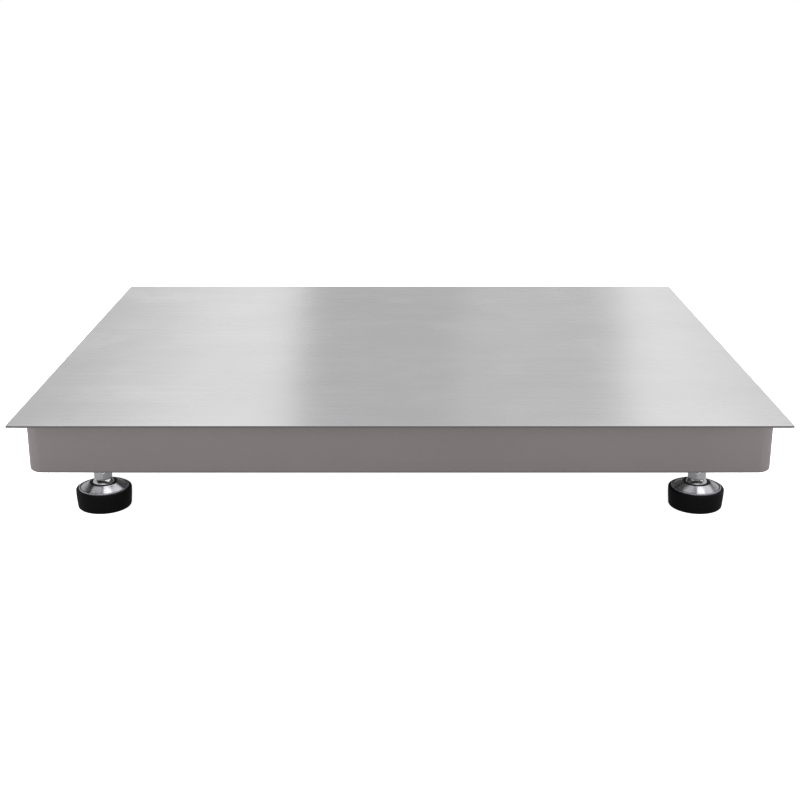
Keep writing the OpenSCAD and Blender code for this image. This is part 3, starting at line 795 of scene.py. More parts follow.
def thread_tree():
    """A right-hand screw thread about Z from the floor up: a core, and a ridge fading at its ends."""
    g = Growth("screw_thread", ("Radius", "NodeSocketFloat", 0.003),
               ("Pitch", "NodeSocketFloat", 0.001),
               ("Length", "NodeSocketFloat", 0.014), ("Sides", "NodeSocketInt", 32))
    half = g.math("MULTIPLY", g.given["Pitch"], 0.46)
    core = g.math("SUBTRACT", g.given["Radius"], half)
    rise = g.math("SUBTRACT", g.given["Length"], g.math("MULTIPLY", g.given["Pitch"], 1.0))
    turns = g.math("DIVIDE", rise, g.given["Pitch"])
    spiral = g.node("GeometryNodeCurveSpiral", {"Resolution": g.given["Sides"], "Rotations": turns,
                                                "Start Radius": core, "End Radius": core,
                                                "Height": rise})[0]
    raised = g.node("GeometryNodeTransform", {"Geometry": spiral, "Translation": g.node(
        "ShaderNodeCombineXYZ", {"Z": half})[0]})[0]
    level = g.node("GeometryNodeSetCurveNormal", {"Curve": raised}, mode="Z_UP")[0]
    along = g.node("GeometryNodeSplineParameter", {})["Factor"]
    ends = g.math("MINIMUM", along, g.math("SUBTRACT", 1.0, along))
    fade = g.math("MAXIMUM", g.math("MULTIPLY", ends, turns, True), 0.02)
    profile = g.node("GeometryNodeCurvePrimitiveCircle", {"Resolution": 4, "Radius": half})["Curve"]
    ridge = g.node("GeometryNodeCurveToMesh",
                   {"Curve": level, "Profile Curve": profile, "Scale": fade,
                                               "Fill Caps": True})[0]
    rod = g.node("GeometryNodeMeshCylinder", {"Vertices": g.given["Sides"], "Radius": core,
                                              "Depth": g.given["Length"]})["Mesh"]
    middle = g.node("ShaderNodeCombineXYZ", {"Z": g.math("MULTIPLY", g.given["Length"], 0.5)})[0]
    rod = g.node("GeometryNodeTransform", {"Geometry": rod, "Translation": middle})[0]
    join = g.tree.nodes.new("GeometryNodeJoinGeometry")
    g.tree.links.new(ridge, join.inputs[0])
    g.tree.links.new(rod, join.inputs[0])
    return g.finish(join.outputs[0])


def weld_tree():
    """Overlapping ripples of weld along each edge of the given mesh."""
    g = Growth("weld_beads", ("Width", "NodeSocketFloat", 0.0024),
               ("Ripple", "NodeSocketFloat", 0.0017),
               ("Seed", "NodeSocketInt", 1))
    curve = g.node("GeometryNodeMeshToCurve", {"Mesh": g.given["Geometry"]})[0]
    steps = g.node("GeometryNodeResampleCurve", {"Curve": curve, "Length": g.given["Ripple"]},
                   mode="LENGTH")[0]
    tangent = g.node("GeometryNodeInputTangent", {})[0]
    rotation = g.node("FunctionNodeAlignRotationToVector", {"Vector": tangent}, axis="Z")[0]
    drop = g.node("GeometryNodeMeshIcoSphere", {"Radius": 1.0, "Subdivisions": 2})["Mesh"]
    across = g.math("MULTIPLY", g.given["Width"], g.random(0.85, 1.1, g.given["Seed"]))
    size = g.node("ShaderNodeCombineXYZ", {"X": across, "Y": across,
                                           "Z": g.math("MULTIPLY", g.given["Ripple"], 0.9)})[0]
    beads = g.node("GeometryNodeInstanceOnPoints",
                   {"Points": steps, "Instance": drop, "Rotation": rotation, "Scale": size})[0]
    return g.finish(beads)


def cable_tree():
    """A round jacket along each run of edges."""
    g = Growth("cable_along_path", ("Radius", "NodeSocketFloat", 0.0025),
               ("Sides", "NodeSocketInt", 20))
    curve = g.node("GeometryNodeMeshToCurve", {"Mesh": g.given["Geometry"]})[0]
    profile = g.node("GeometryNodeCurvePrimitiveCircle",
                     {"Resolution": g.given["Sides"], "Radius": g.given["Radius"]})["Curve"]
    return g.finish(g.node("GeometryNodeCurveToMesh", {"Curve": curve, "Profile Curve": profile,
                                                       "Fill Caps": True})[0])


def grown(name, tree, points, material, facings=None, edges=(), **sizes):
    """A plain mesh from a tree, worked on a mesh of points and edges."""
    start = bpy.data.meshes.new(name)
    start.from_pydata([tuple(p) for p in points], [tuple(e) for e in edges], [])
    turns = start.attributes.new("facing", "FLOAT_VECTOR", "POINT")
    for row, angles in zip(turns.data, facings or []):
        row.vector = angles
    pattern = bpy.data.objects.new(name, start)
    SCENE.collection.objects.link(pattern)
    modifier = pattern.modifiers.new("build", "NODES")
    modifier.node_group = tree
    sizes["Material"] = material
    for item in tree.interface.items_tree:
        if item.item_type == "SOCKET" and item.in_out == "INPUT" and item.name in sizes:
            modifier[item.identifier] = sizes[item.name]
    pattern.update_tag()
    evaluated = pattern.evaluated_get(bpy.context.evaluated_depsgraph_get())
    mesh = bpy.data.meshes.new_from_object(evaluated)
    pattern.modifiers.remove(modifier)
    bpy.data.objects.remove(pattern)
    return tidied(mesh, name, material)


def tidied(mesh, name, material):
    """Doubles merged, faces outwards, and a metric UV map for the finishes."""
    bm = bmesh.new()
    bm.from_mesh(mesh)
    bmesh.ops.remove_doubles(bm, verts=bm.verts, dist=1e-6)
    bmesh.ops.dissolve_degenerate(bm, edges=bm.edges, dist=1e-7)
    bmesh.ops.recalc_face_normals(bm, faces=bm.faces)
    if not bm.loops.layers.uv:
        bm.normal_update()
        box_mapped(bm, "Z")
    bm.to_mesh(mesh)
    bm.free()
    mesh.name = name
    mesh.uv_layers[0].name = "finish"
    mesh.materials.clear()
    mesh.materials.append(material)
    mesh.set_sharp_from_angle(angle=math.radians(35))
    return mesh


def set_out(name, part, places, material, spin=0.0, seed=1):
    """A part's mesh on each (point, facing), made one mesh."""
    holder = bpy.data.objects.new(name + "_pattern", part)
    SCENE.collection.objects.link(holder)
    mesh = grown(name, PLACING, [p for p, _ in places], material, [f for _, f in places],
                 Part=holder, Spin=spin, Seed=seed)
    bpy.data.objects.remove(holder)
    return mesh


def ring_of(name, part, count, radius, material):
    holder = bpy.data.objects.new(name + "_pattern", part)
    SCENE.collection.objects.link(holder)
    mesh = grown(name, RING, [(0, 0, 0)], material, Part=holder, Count=count, Radius=radius)
    bpy.data.objects.remove(holder)
    return mesh


def united(name, material, *meshes, places=None):
    """Several meshes as one, each moved by its own matrix."""
    bm = bmesh.new()
    for mesh, place in zip(meshes, places or [Matrix()] * len(meshes)):
        copy = mesh.copy()
        copy.transform(place)
        for layer in copy.uv_layers:
            layer.name = "finish"
        bm.from_mesh(copy)
    mesh = bpy.data.meshes.new(name)
    bm.to_mesh(mesh)
    bm.free()
    mesh.materials.append(material)
    for face in mesh.polygons:
        face.material_index = 0
    mesh.set_sharp_from_angle(angle=math.radians(35))
    return mesh


PLACING = placing_tree()
RING = ring_tree()
THREAD = thread_tree()
WELD = weld_tree()
CABLE = cable_tree()


# ---------- deck and skirts ----------

def make_deck():
    """The sheet, with upright corners and edges eased as a guillotine and a file leave them."""
    corner, edge = 1.5 * MM, 0.35 * MM
    outline = rounded_outline(DECK_HIGH.x - corner, DECK_HIGH.y - corner, corner, 6)
    section = eased([(3 * edge, DECK_LOW.z), (0, DECK_LOW.z), (0, DECK_HIGH.z),
                     (3 * edge, DECK_HIGH.z)], edge, 4)
    bm = bmesh.new()
    uv = bm.loops.layers.uv.verify()
    rings = []
    for inwards, z in section:
        ring = []
        for x, y in outline:
            px = x - math.copysign(min(inwards, corner), x)
            py = y - math.copysign(min(inwards, corner), y)
            ring.append((px, py, z))
        rings.append(ring)
    grid = skin(bm, rings)
    for ring in (grid[0], grid[-1]):
        face = bm.faces.new(ring)
        face.smooth = True
    bmesh.ops.remove_doubles(bm, verts=bm.verts, dist=1e-6)
    bmesh.ops.recalc_face_normals(bm, faces=bm.faces)
    for face in bm.faces:
        if abs(face.normal.z) > 0.5:
            for loop in face.loops:
                loop[uv].uv = (loop.vert.co.y, loop.vert.co.x)
    on_platform("deck_sheet", as_mesh(bm, "deck_sheet", [DECK_STEEL], 50), "deck_plate")


def skirt_section(height, lip, sheet, bend):
    """Outline of the folded C section: (distance inwards, height) round the sheet."""
    inner = bend - sheet
    outside = arc((bend, bend), bend, 270, 180, 6) + arc((bend, height - bend), bend, 180, 90, 6)
    inside = arc((bend, height - bend), inner, 90, 180, 6) + arc((bend, bend), inner, 180, 270, 6)
    ease = 0.3 * MM
    top_end = [(lip - ease, height), (lip, height - ease), (lip, height - sheet + ease),
               (lip - ease, height - sheet)]
    low_end = [(lip - ease, sheet), (lip, sheet - ease), (lip, ease), (lip - ease, 0)]
    return outside + top_end + inside + low_end


def sweep_section(bm, section, stations, base):
    """Carries a section along stations of (corner point, inward direction)."""
    rings = []
    for point, inward in stations:
        rings.append([(point[0] + inward[0] * d, point[1] + inward[1] * d, base + z) for d,
                      z in section])
    turned_rings = [list(row) for row in zip(*rings)]
    turned_rings.append(turned_rings[0])
    grid = skin(bm, turned_rings, closed=False)
    for end in (0, -1):
        bm.faces.new([row[end] for row in grid[:-1]])


def end_skirt_stations(side, corner, end_return, steps=14):
    """Stations along the front (side -1) or rear (side 1) skirt, corners and returns included."""
    x, y = FRONT_HIGH.x, -FRONT_LOW.y
    stations = []
    for hand in (-1, 1):
        run = [((hand * x, y - corner - end_return), (-hand, 0)),
               ((hand * x, y - corner), (-hand, 0))]
        for i in range(1, steps + 1):
            angle = math.pi / 2 * i / steps
            outward = (hand * math.cos(angle), math.sin(angle))
            point = (hand * (x - corner) + corner * outward[0], y - corner + corner * outward[1])
            run.append((point, (-outward[0], -outward[1])))
        stations.append(run)
    whole = stations[0] + stations[1][::-1]
    return [((px, side * py), (ix, side * iy)) for (px, py), (ix, iy) in whole]


def make_skirts():
    sheet, bend, corner, end_return = 2.5 * MM, 4 * MM, 20 * MM, 30 * MM
    height = FRONT_HIGH.z - FRONT_LOW.z
    section = skirt_section(height, corner, sheet, bend)
    for name, side in (("front", -1), ("rear", 1)):
        bm = bmesh.new()
        sweep_section(bm, section, end_skirt_stations(side, corner, end_return), FRONT_LOW.z)
        mesh = as_mesh(bm, f"{name}_skirt_sheet", [SHADED_SKIRT_STEEL], 40)
        on_platform(f"{name}_skirt_sheet", mesh, f"{name}_skirt")
    for name, hand in (("left", -1), ("right", 1)):
        low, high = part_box(f"{name}_skirt")
        bm = bmesh.new()
        stations = [((hand * FRONT_HIGH.x, y), (-hand, 0)) for y in (low.y, 0, high.y)]
        sweep_section(bm, section, stations, FRONT_LOW.z)
        mesh = as_mesh(bm, f"{name}_skirt_sheet", [SHADED_SKIRT_STEEL], 40)
        on_platform(f"{name}_skirt_sheet", mesh, f"{name}_skirt")


# ---------- levelling feet ----------

JOINTS = {row["name"]: row for row in frame["record"]["behaviour"]["joints"]}
BALL_Z = JOINTS["front_left_tilt_sideways"]["pos_m"][2]
BALL_R = 15.5 * MM
SEAT_IN = 15.6 * MM
SEAT_OUT = 18.9 * MM
SOCKET_R = 19.05 * MM
THREAD_R = 8 * MM
PITCH = 2 * MM
HEX_FLATS = 24 * MM
HEX_HEIGHT = 10 * MM
HEX_Z = BALL_Z + 12.5 * MM
HEX_TURN = 14            # degrees, towards the middle of the deck


def hexagon_turn(corner):
    foot = foot_axis(corner)
    return math.radians(math.copysign(HEX_TURN, foot.x * foot.y))


def sphere_arc(radius, low, high, steps=10):
    """Profile points of a sphere about the ball's centre, between two heights over the floor."""
    start, end = (math.degrees(math.asin((z - BALL_Z) / radius)) for z in (low, high))
    return arc((0, BALL_Z), radius, start, end, steps)


def foot_pad_mesh():
    low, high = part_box("front_left_foot_pad")
    rim = (high.x - low.x) / 2
    base_low, base_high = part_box("front_left_foot_base")
    cup = (base_high.x - base_low.x) / 2
    top, floor = high.z, base_low.z
    bm = bmesh.new()
    under = [(0, 0)]
    for groove in (12 * MM, 20 * MM, 28 * MM):
        under += [(groove, 0), (groove + 0.3 * MM, 1.2 * MM), (groove + 1.7 * MM, 1.2 * MM),
                  (groove + 2 * MM, 0)]
    outside = [(rim - 4.2 * MM, 0)] + arc((rim - 4.4 * MM, 3 * MM), 3 * MM, 275, 355, 8)
    belly = [(rim - 1.0 * MM, 8 * MM), (rim - 0.45 * MM, 14 * MM), (rim - 0.15 * MM, 19 * MM)]
    lip = arc((rim - 2 * MM, top - 2 * MM), 2 * MM, 0, 90, 8)
    inside = [(cup + 0.4 * MM, top - 0.15 * MM), (cup, top - 0.7 * MM), (cup, floor + 0.5 * MM),
              (cup - 0.5 * MM, floor),
              (0, floor)]
    turned(bm, under + outside + belly + lip + inside, 128)
    return as_mesh(bm, "foot_pad", [FOOT_RUBBER], 40)


def foot_base_mesh():
    """Turned cone with a rolled lip, and a spherical socket open at the top."""
    low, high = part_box("front_left_foot_base")
    rim, top = (high.x - low.x) / 2, high.z
    lip_z = top - 6.7 * MM
    mouth = math.sqrt(SOCKET_R ** 2 - (top - BALL_Z) ** 2)
    bm = bmesh.new()
    skirt = [(0, low.z), (rim - 1 * MM, low.z), (rim, low.z + 1 * MM), (rim, lip_z)]
    roll = arc((rim - 1.2 * MM, lip_z), 1.2 * MM, 10, 120, 8)
    cone = [(rim - 3.0 * MM, lip_z + 0.85 * MM), (rim - 3.6 * MM, lip_z + 1.15 * MM),
            (mouth + 1.5 * MM, top - 0.15 * MM)]
    edge = [(mouth + 0.9 * MM, top), (mouth + 0.3 * MM, top)]
    socket = sphere_arc(SOCKET_R, top, BALL_Z - SOCKET_R + 0.001 * MM, 28)
    turned(bm, skirt + roll + cone + edge + socket, 160)
    return as_mesh(bm, "foot_base", [CONE_STEEL], 28)


def liner_mesh(name, node):
    """Half of the nylon liner between the ball and the socket."""
    low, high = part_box(node)
    bm = bmesh.new()
    outer = sphere_arc(SEAT_OUT, low.z, high.z, 10)
    inner = sphere_arc(SEAT_IN, high.z, max(low.z, BALL_Z - SEAT_IN + 0.2 * MM), 10)
    profile = eased(outer + inner + outer[:1], 0.35 * MM)
    turned(bm, profile, 128)
    return as_mesh(bm, name, [NYLON], 40)


def stud_mesh():
    """Ball, neck, hexagon, undercut and thread of one levelling stud."""
    low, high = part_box("front_left_stud")
    hex_top = HEX_Z + HEX_HEIGHT
    bm = bmesh.new()
    neck = 9.5 * MM
    join = BALL_Z + math.sqrt(BALL_R ** 2 - neck ** 2)
    ball = [(0, low.z)] + sphere_arc(BALL_R, low.z, join - 0.5 * MM, 26)
    turned(bm, ball + [(neck, join + 0.5 * MM), (neck, HEX_Z + 0.2 * MM), (0, HEX_Z + 0.2 * MM)],
           128, 1)
    hexagon_prism(bm, HEX_FLATS, HEX_Z, HEX_HEIGHT)
    undercut = THREAD_R - 1.2 * MM
    turned(bm, [(0, hex_top - 0.5 * MM), (undercut + 1 * MM, hex_top - 0.5 * MM),
                (undercut, hex_top + 0.6 * MM), (undercut, hex_top + 3.5 * MM),
                (0, hex_top + 3.5 * MM)], 64)
    thread(bm, hex_top + 2 * MM, high.z, THREAD_R, PITCH)
    return as_mesh(bm, "stud", [BRIGHT_PLATING, BRIGHT_PLATING], 32)


def lock_nut_mesh():
    low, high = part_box("front_left_lock_nut")
    bm = bmesh.new()
    hexagon_prism(bm, HEX_FLATS, low.z, high.z - low.z, bore=THREAD_R + 0.05 * MM)
    return as_mesh(bm, "lock_nut", [ZINC], 32)


def washer_profile(inner, outer, low, high):
    ease = 0.3 * MM
    return [(inner, low + ease), (inner + ease, low), (outer - ease, low), (outer, low + ease),
            (outer, high - ease), (outer - ease, high), (inner + ease, high), (inner, high - ease),
            (inner, low + ease)]


def lock_washer_mesh():
    low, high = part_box("front_left_lock_washer")
    bm = bmesh.new()
    turned(bm, washer_profile(8.5 * MM, (high.x - low.x) / 2, low.z, high.z), 64)
    return as_mesh(bm, "lock_washer", [ZINC], 32)


def make_feet():
    """One of each foot part is built on the axis, and copied to the four feet."""
    parts = (
        ("foot_pad", "rubber_pad", foot_pad_mesh(), "base"),
        ("foot_base", "turned_base", foot_base_mesh(), "base"),
        ("ball_seat", "lower_liner", liner_mesh("lower_liner", "front_left_ball_seat"), "seat"),
        ("ball_ring", "upper_liner", liner_mesh("upper_liner", "front_left_ball_ring"), "ring"),
        ("stud", "levelling_stud", stud_mesh(), "stud"),
        ("lock_nut", "jam_nut", lock_nut_mesh(), "nut"),
        ("lock_washer", "jam_washer", lock_washer_mesh(), "washer"),
    )
    for corner in CORNERS:
        for part, piece_part, mesh, body in parts:
            node, name = f"{corner}_{part}", f"{corner}_{piece_part}"
            turn = hexagon_turn(corner) if part == "stud" else 0
            place = Matrix.Translation(foot_axis(corner)) @ Matrix.Rotation(turn, 4, "Z")
            add_piece(name, placed(mesh, name, place), f"{corner}_{body}", SLOTS[node], node)


# ---------- fastenings, welds, cables and box, all on the platform ----------

FOOT_X, FOOT_Y = (abs(c) for c in foot_axis("rear_right").xy)
FRAME_TOP = DECK_LOW.z
LIP_Z = FRAME_TOP - 2.5 * MM
CELL_LOW, CELL_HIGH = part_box("rear_right_load_cell")
CELL_HALF = (CELL_HIGH.z - CELL_LOW.z) / 2
BEAM_LOW, BEAM_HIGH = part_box("right_cross_beam")
RIB_LOW, RIB_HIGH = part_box("inner_ribs")
BOX_LOW, BOX_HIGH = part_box("junction_box_body")
SOCKET_LOW, SOCKET_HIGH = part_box("indicator_socket")
SKIRT_BACK = -FRONT_LOW.y
BOLT_X = (CELL_LOW.x + 13 * MM, CELL_LOW.x + 39 * MM)
CABLE_Z = BOX_LOW.z + 12 * MM
SOCKET_Z = (SOCKET_LOW.z + SOCKET_HIGH.z) / 2
UPRIGHT = (0, 0, 0)


def at_four_corners(points):
    """Points given for the rear right corner, mirrored to all four."""
    return [(sx * x, sy * y, z) for sx in (1, -1) for sy in (1, -1) for x, y, z in points]


def deck_stud_points(z):
    reach_x, reach_y = FRONT_HIGH.x - 12 * MM, SKIRT_BACK - 12 * MM
    ends = [(x * MM, side * reach_y, z) for side in (-1, 1) for x in (-360, -120, 120, 360)]
    return ends + [(side * reach_x, y * MM, z) for side in (-1, 1) for y in (-250, 0, 250)]


def make_deck_fastenings():
    low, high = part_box("deck_studs")
    screw = grown("deck_stud_thread", THREAD, [(0, 0, 0)], ZINC, Radius=3 * MM, Pitch=1 * MM,
                  Length=high.z - low.z - 1 * MM, Sides=20)
    bm = bmesh.new()
    turned(bm, [(0, high.z - low.z - 1.6 * MM), (2.6 * MM, high.z - low.z - 1.6 * MM),
                (3.3 * MM, high.z - low.z - 0.4 * MM), (3.4 * MM, high.z - low.z),
                (0, high.z - low.z)], 24)
    collar = as_mesh(bm, "stud_collar", [ZINC])
    stud = united("weld_stud", ZINC, screw, collar)
    places = [(p, UPRIGHT) for p in deck_stud_points(low.z)]
    on_platform("weld_studs", set_out("weld_studs", stud, places, ZINC, math.pi), "deck_studs")

    low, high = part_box("deck_nuts")
    tall = high.z - low.z
    bm = bmesh.new()
    hexagon_prism(bm, 10 * MM, 0, tall - 0.8 * MM, bore=3.05 * MM, steps=4)
    flange = [(3.2 * MM, tall - 1.3 * MM), (5.4 * MM, tall - 1.3 * MM), (6.8 * MM, tall - 1.0 * MM),
              (7 * MM, tall - 0.7 * MM), (7 * MM, tall - 0.2 * MM), (6.8 * MM, tall),
              (3.2 * MM, tall),
              (3.2 * MM, tall - 1.3 * MM)]
    turned(bm, flange, 32)
    nut = as_mesh(bm, "flange_nut", [ZINC])
    places = [(p, UPRIGHT) for p in deck_stud_points(low.z)]
    on_platform("flange_nuts", set_out("flange_nuts", nut, places, ZINC, math.pi, 7), "deck_nuts")


def make_cell_fastenings():
    low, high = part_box("cell_bolts")
    head = 7.5 * MM
    bm = bmesh.new()
    hexagon_prism(bm, 19 * MM, 0, head, steps=6)
    turned(bm, [(0, head - 0.2 * MM), (6 * MM, head - 0.2 * MM), (6 * MM, high.z - low.z - 1 * MM),
                (5 * MM, high.z - low.z), (0, high.z - low.z)], 32)
    screw = as_mesh(bm, "cell_screw", [ZINC])
    places = [(p, UPRIGHT) for p in at_four_corners([(x, FOOT_Y, low.z) for x in BOLT_X])]
    on_platform("cell_screws", set_out("cell_screws", screw, places, ZINC, math.pi, 3),
                "cell_bolts")

    low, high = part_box("cell_bolt_washers")
    bm = bmesh.new()
    turned(bm, washer_profile(6.5 * MM, 12 * MM, 0, high.z - low.z), 48)
    disc = as_mesh(bm, "cell_washer", [ZINC])
    places = [((x, y, low.z), UPRIGHT) for (x, y, _), _ in places]
    on_platform("cell_washers", set_out("cell_washers", disc, places, ZINC), "cell_bolt_washers")

    bm = bmesh.new()
    thick = 1.5 * MM
    turned(bm,
           eased([(0, 0), (12.5 * MM, 0), (12.5 * MM, thick), (10.8 * MM, thick),
                  (10.6 * MM, thick - 0.3 * MM),
                      (10.1 * MM, thick - 0.3 * MM), (9.9 * MM, thick), (0, thick)], 0.25 * MM), 64)
    cover = as_mesh(bm, "gauge_disc", [CELL_STEEL])
    pocket = (BOLT_X[1] + FOOT_X) / 2
    middle = (CELL_LOW.z + CELL_HIGH.z) / 2
    places = []
    for sx in (-1, 1):
        for sy in (-1, 1):
            for face in (-1, 1):
                places.append(((sx * pocket, sy * FOOT_Y + face * CELL_HALF, middle),
                               (-face * math.pi / 2, 0, 0)))
    on_platform("gauge_discs", set_out("gauge_discs", cover, places, CELL_STEEL), "gauge_covers")


def weld_runs():
    """Stitches of weld, as (start, end) pairs, where beams, ribs, plates and skirts meet."""
    beam_in, beam_out = BEAM_LOW.x, BEAM_HIGH.x
    rib_low, beam_low = RIB_LOW.z, BEAM_LOW.z
    skirt_in = SKIRT_BACK - 2.5 * MM
    top = FRAME_TOP - 5 * MM
    runs = []
    for side in (-1, 1):
        for y in (-190, 0, 190):
            for edge in (-20, 20):
                at = (side * beam_in, (y + edge) * MM)
                runs.append(((*at, rib_low + 3 * MM), (*at, top)))
            runs.append(((side * beam_in, (y - 15) * MM, rib_low),
                         (side * beam_in, (y + 15) * MM, rib_low)))
        for y in (-125, 125):
            for edge in (-20, 20):
                for x in (beam_out, FRONT_HIGH.x - 2.5 * MM):
                    at = (side * x, (y + edge) * MM)
                    runs.append(((*at, rib_low + 3 * MM), (*at, top - 3 * MM)))
            for x in (beam_out, FRONT_HIGH.x - 2.5 * MM):
                runs.append(((side * x, (y - 15) * MM, rib_low),
                             (side * x, (y + 15) * MM, rib_low)))
        for end in (-1, 1):
            for x in (beam_in, beam_out):
                at = (side * x, end * skirt_in)
                runs.append(((*at, beam_low + 4 * MM), (*at, top - 3 * MM)))
            runs.append(((side * (beam_in + 5 * MM), end * skirt_in, beam_low),
                         (side * (beam_out - 5 * MM), end * skirt_in, beam_low)))
            plate_y, plate_z = end * (FOOT_Y - 42 * MM), FRAME_TOP - 12 * MM
            runs.append(((side * beam_out, plate_y + end * 8 * MM, plate_z),
                         (side * beam_out, plate_y + end * 26 * MM, plate_z)))
            runs.append(((side * beam_out, plate_y + end * 72 * MM, plate_z),
                         (side * beam_out, plate_y + end * 92 * MM, plate_z)))
    return runs


def make_welds():
    runs = weld_runs()
    points = [p for run in runs for p in run]
    edges = [(2 * i, 2 * i + 1) for i in range(len(runs))]
    beads = grown("frame_weld_beads", WELD, points, WELD_METAL, edges=edges, Width=2.2 * MM,
                  Ripple=1.7 * MM, Seed=5)
    on_platform("frame_weld_beads", beads, "inner_ribs", False)


def spline_path(route, steps=10):
    """Smooth points through a route, as the CAD's own cable path."""
    route = [Vector(p) * MM for p in route]
    path = []
    for i in range(len(route) - 1):
        a, b = route[max(i - 1, 0)], route[i]
        c, d = route[i + 1], route[min(i + 2, len(route) - 1)]
        for k in range(steps):
            t = k / steps
            path.append(0.5 * (2 * b + (c - a) * t + (2 * a - 5 * b + 4 * c - d) * t * t
                               + (3 * b - a - 3 * c + d) * t ** 3))
    return path + [route[-1]]


def make_cables():
    z, out_y = CABLE_Z / MM, (FOOT_Y - CELL_HALF) / MM
    outlet_z = (CELL_LOW.z + CELL_HIGH.z) / 2 / MM
    outlet_x, beam = sum(BOLT_X) / 2 / MM, (BEAM_LOW.x + BEAM_HIGH.x) / 2 / MM
    box_x, box_y, socket_z = BOX_HIGH.x / MM, BOX_HIGH.y / MM, SOCKET_Z / MM
    cell = [(outlet_x, out_y - 6, outlet_z), (outlet_x, out_y - 14, outlet_z),
            (outlet_x, out_y - 26, outlet_z),
            (outlet_x - 3, out_y - 46, outlet_z - 4), (outlet_x - 14, out_y - 70, z + 2),
            (beam + 30, 192, z),
            (beam, 165, z), (beam - 36, 132, z), (168, 84, z), (142, 42, z), (122, 24, z),
            (105, 20, z),
            (box_x + 18, 20, z), (box_x - 11, 20, z)]
    out = [(0, box_y - 11, z), (0, box_y + 18, z), (0, box_y + 32, z), (3, 120, z), (6, 160, z),
           (6, 190, z),
           (5, 230, z), (1, 275, z + 2), (0, 310, socket_z - 2), (0, 335, socket_z),
           (0, SKIRT_BACK / MM - 26, socket_z)]
    path = spline_path(cell)
    points, edges = [], []
    for sx in (-1, 1):
        for sy in (-1, 1):
            start = len(points)
            points += [(sx * p.x, sy * p.y, p.z) for p in path]
            edges += [(start + i, start + i + 1) for i in range(len(path) - 1)]
    leads = grown("cell_leads", CABLE, points, JACKET, edges=edges, Radius=2.5 * MM, Sides=16)
    on_platform("cell_leads", leads, "cell_cables")
    path = spline_path(out)
    edges = [(i, i + 1) for i in range(len(path) - 1)]
    lead = grown("output_lead", CABLE, path, JACKET, edges=edges, Radius=2.5 * MM, Sides=16)
    on_platform("output_lead", lead, "output_cable")


def make_glands():
    """Hexagon, ribbed dome nut, seal and inside lock nut; Z is the axis, with the box wall at 0."""
    bore = 2.6 * MM
    bm = bmesh.new()
    hexagon_prism(bm, 15 * MM, 0, 5 * MM, bore=bore, steps=4)
    hexagon_prism(bm, 15 * MM, -6 * MM, 3 * MM, bore=bore, steps=4)
    turned(bm,
           [(bore, -8 * MM), (5.4 * MM, -8 * MM), (6 * MM, -7.4 * MM), (6 * MM, 1 * MM),
            (bore, 1 * MM),
                (bore, -8 * MM)], 40)
    dome = [(bore, 4.8 * MM), (6.3 * MM, 4.8 * MM), (6.5 * MM, 5.4 * MM), (6.5 * MM, 11.4 * MM),
            (6.3 * MM, 12.4 * MM), (5.6 * MM, 14.6 * MM), (4.7 * MM, 16.2 * MM),
            (4.2 * MM, 17 * MM), (bore, 17 * MM)]
    turned(bm, eased(dome + dome[:1], 0.4 * MM), 48)
    core = as_mesh(bm, "gland_core", [NYLON])
    bm = bmesh.new()
    rib = [(-0.55, -0.6), (-0.35, 0.45), (0.35, 0.45), (0.55, -0.6)]
    skin(bm,
         [[(y * MM, x * MM, z) for x, y in rib] for z in (5.6 * MM, 6.1 * MM, 11 * MM, 11.6 * MM)])
    grip = as_mesh(bm, "gland_rib", [NYLON])
    ribs = ring_of("gland_ribs", grip, 18, 6.5 * MM, NYLON)
    gland = united("gland", NYLON, core, ribs)
    places = [((side * BOX_HIGH.x, y * MM, CABLE_Z), (0, side * math.pi / 2, 0))
              for side in (-1, 1) for y in (-20, 20)]
    places.append(((0, BOX_HIGH.y, CABLE_Z), (-math.pi / 2, 0, 0)))
    on_platform("nylon_glands", set_out("nylon_glands", gland, places, NYLON, 0.4, 4),
                "cable_glands")


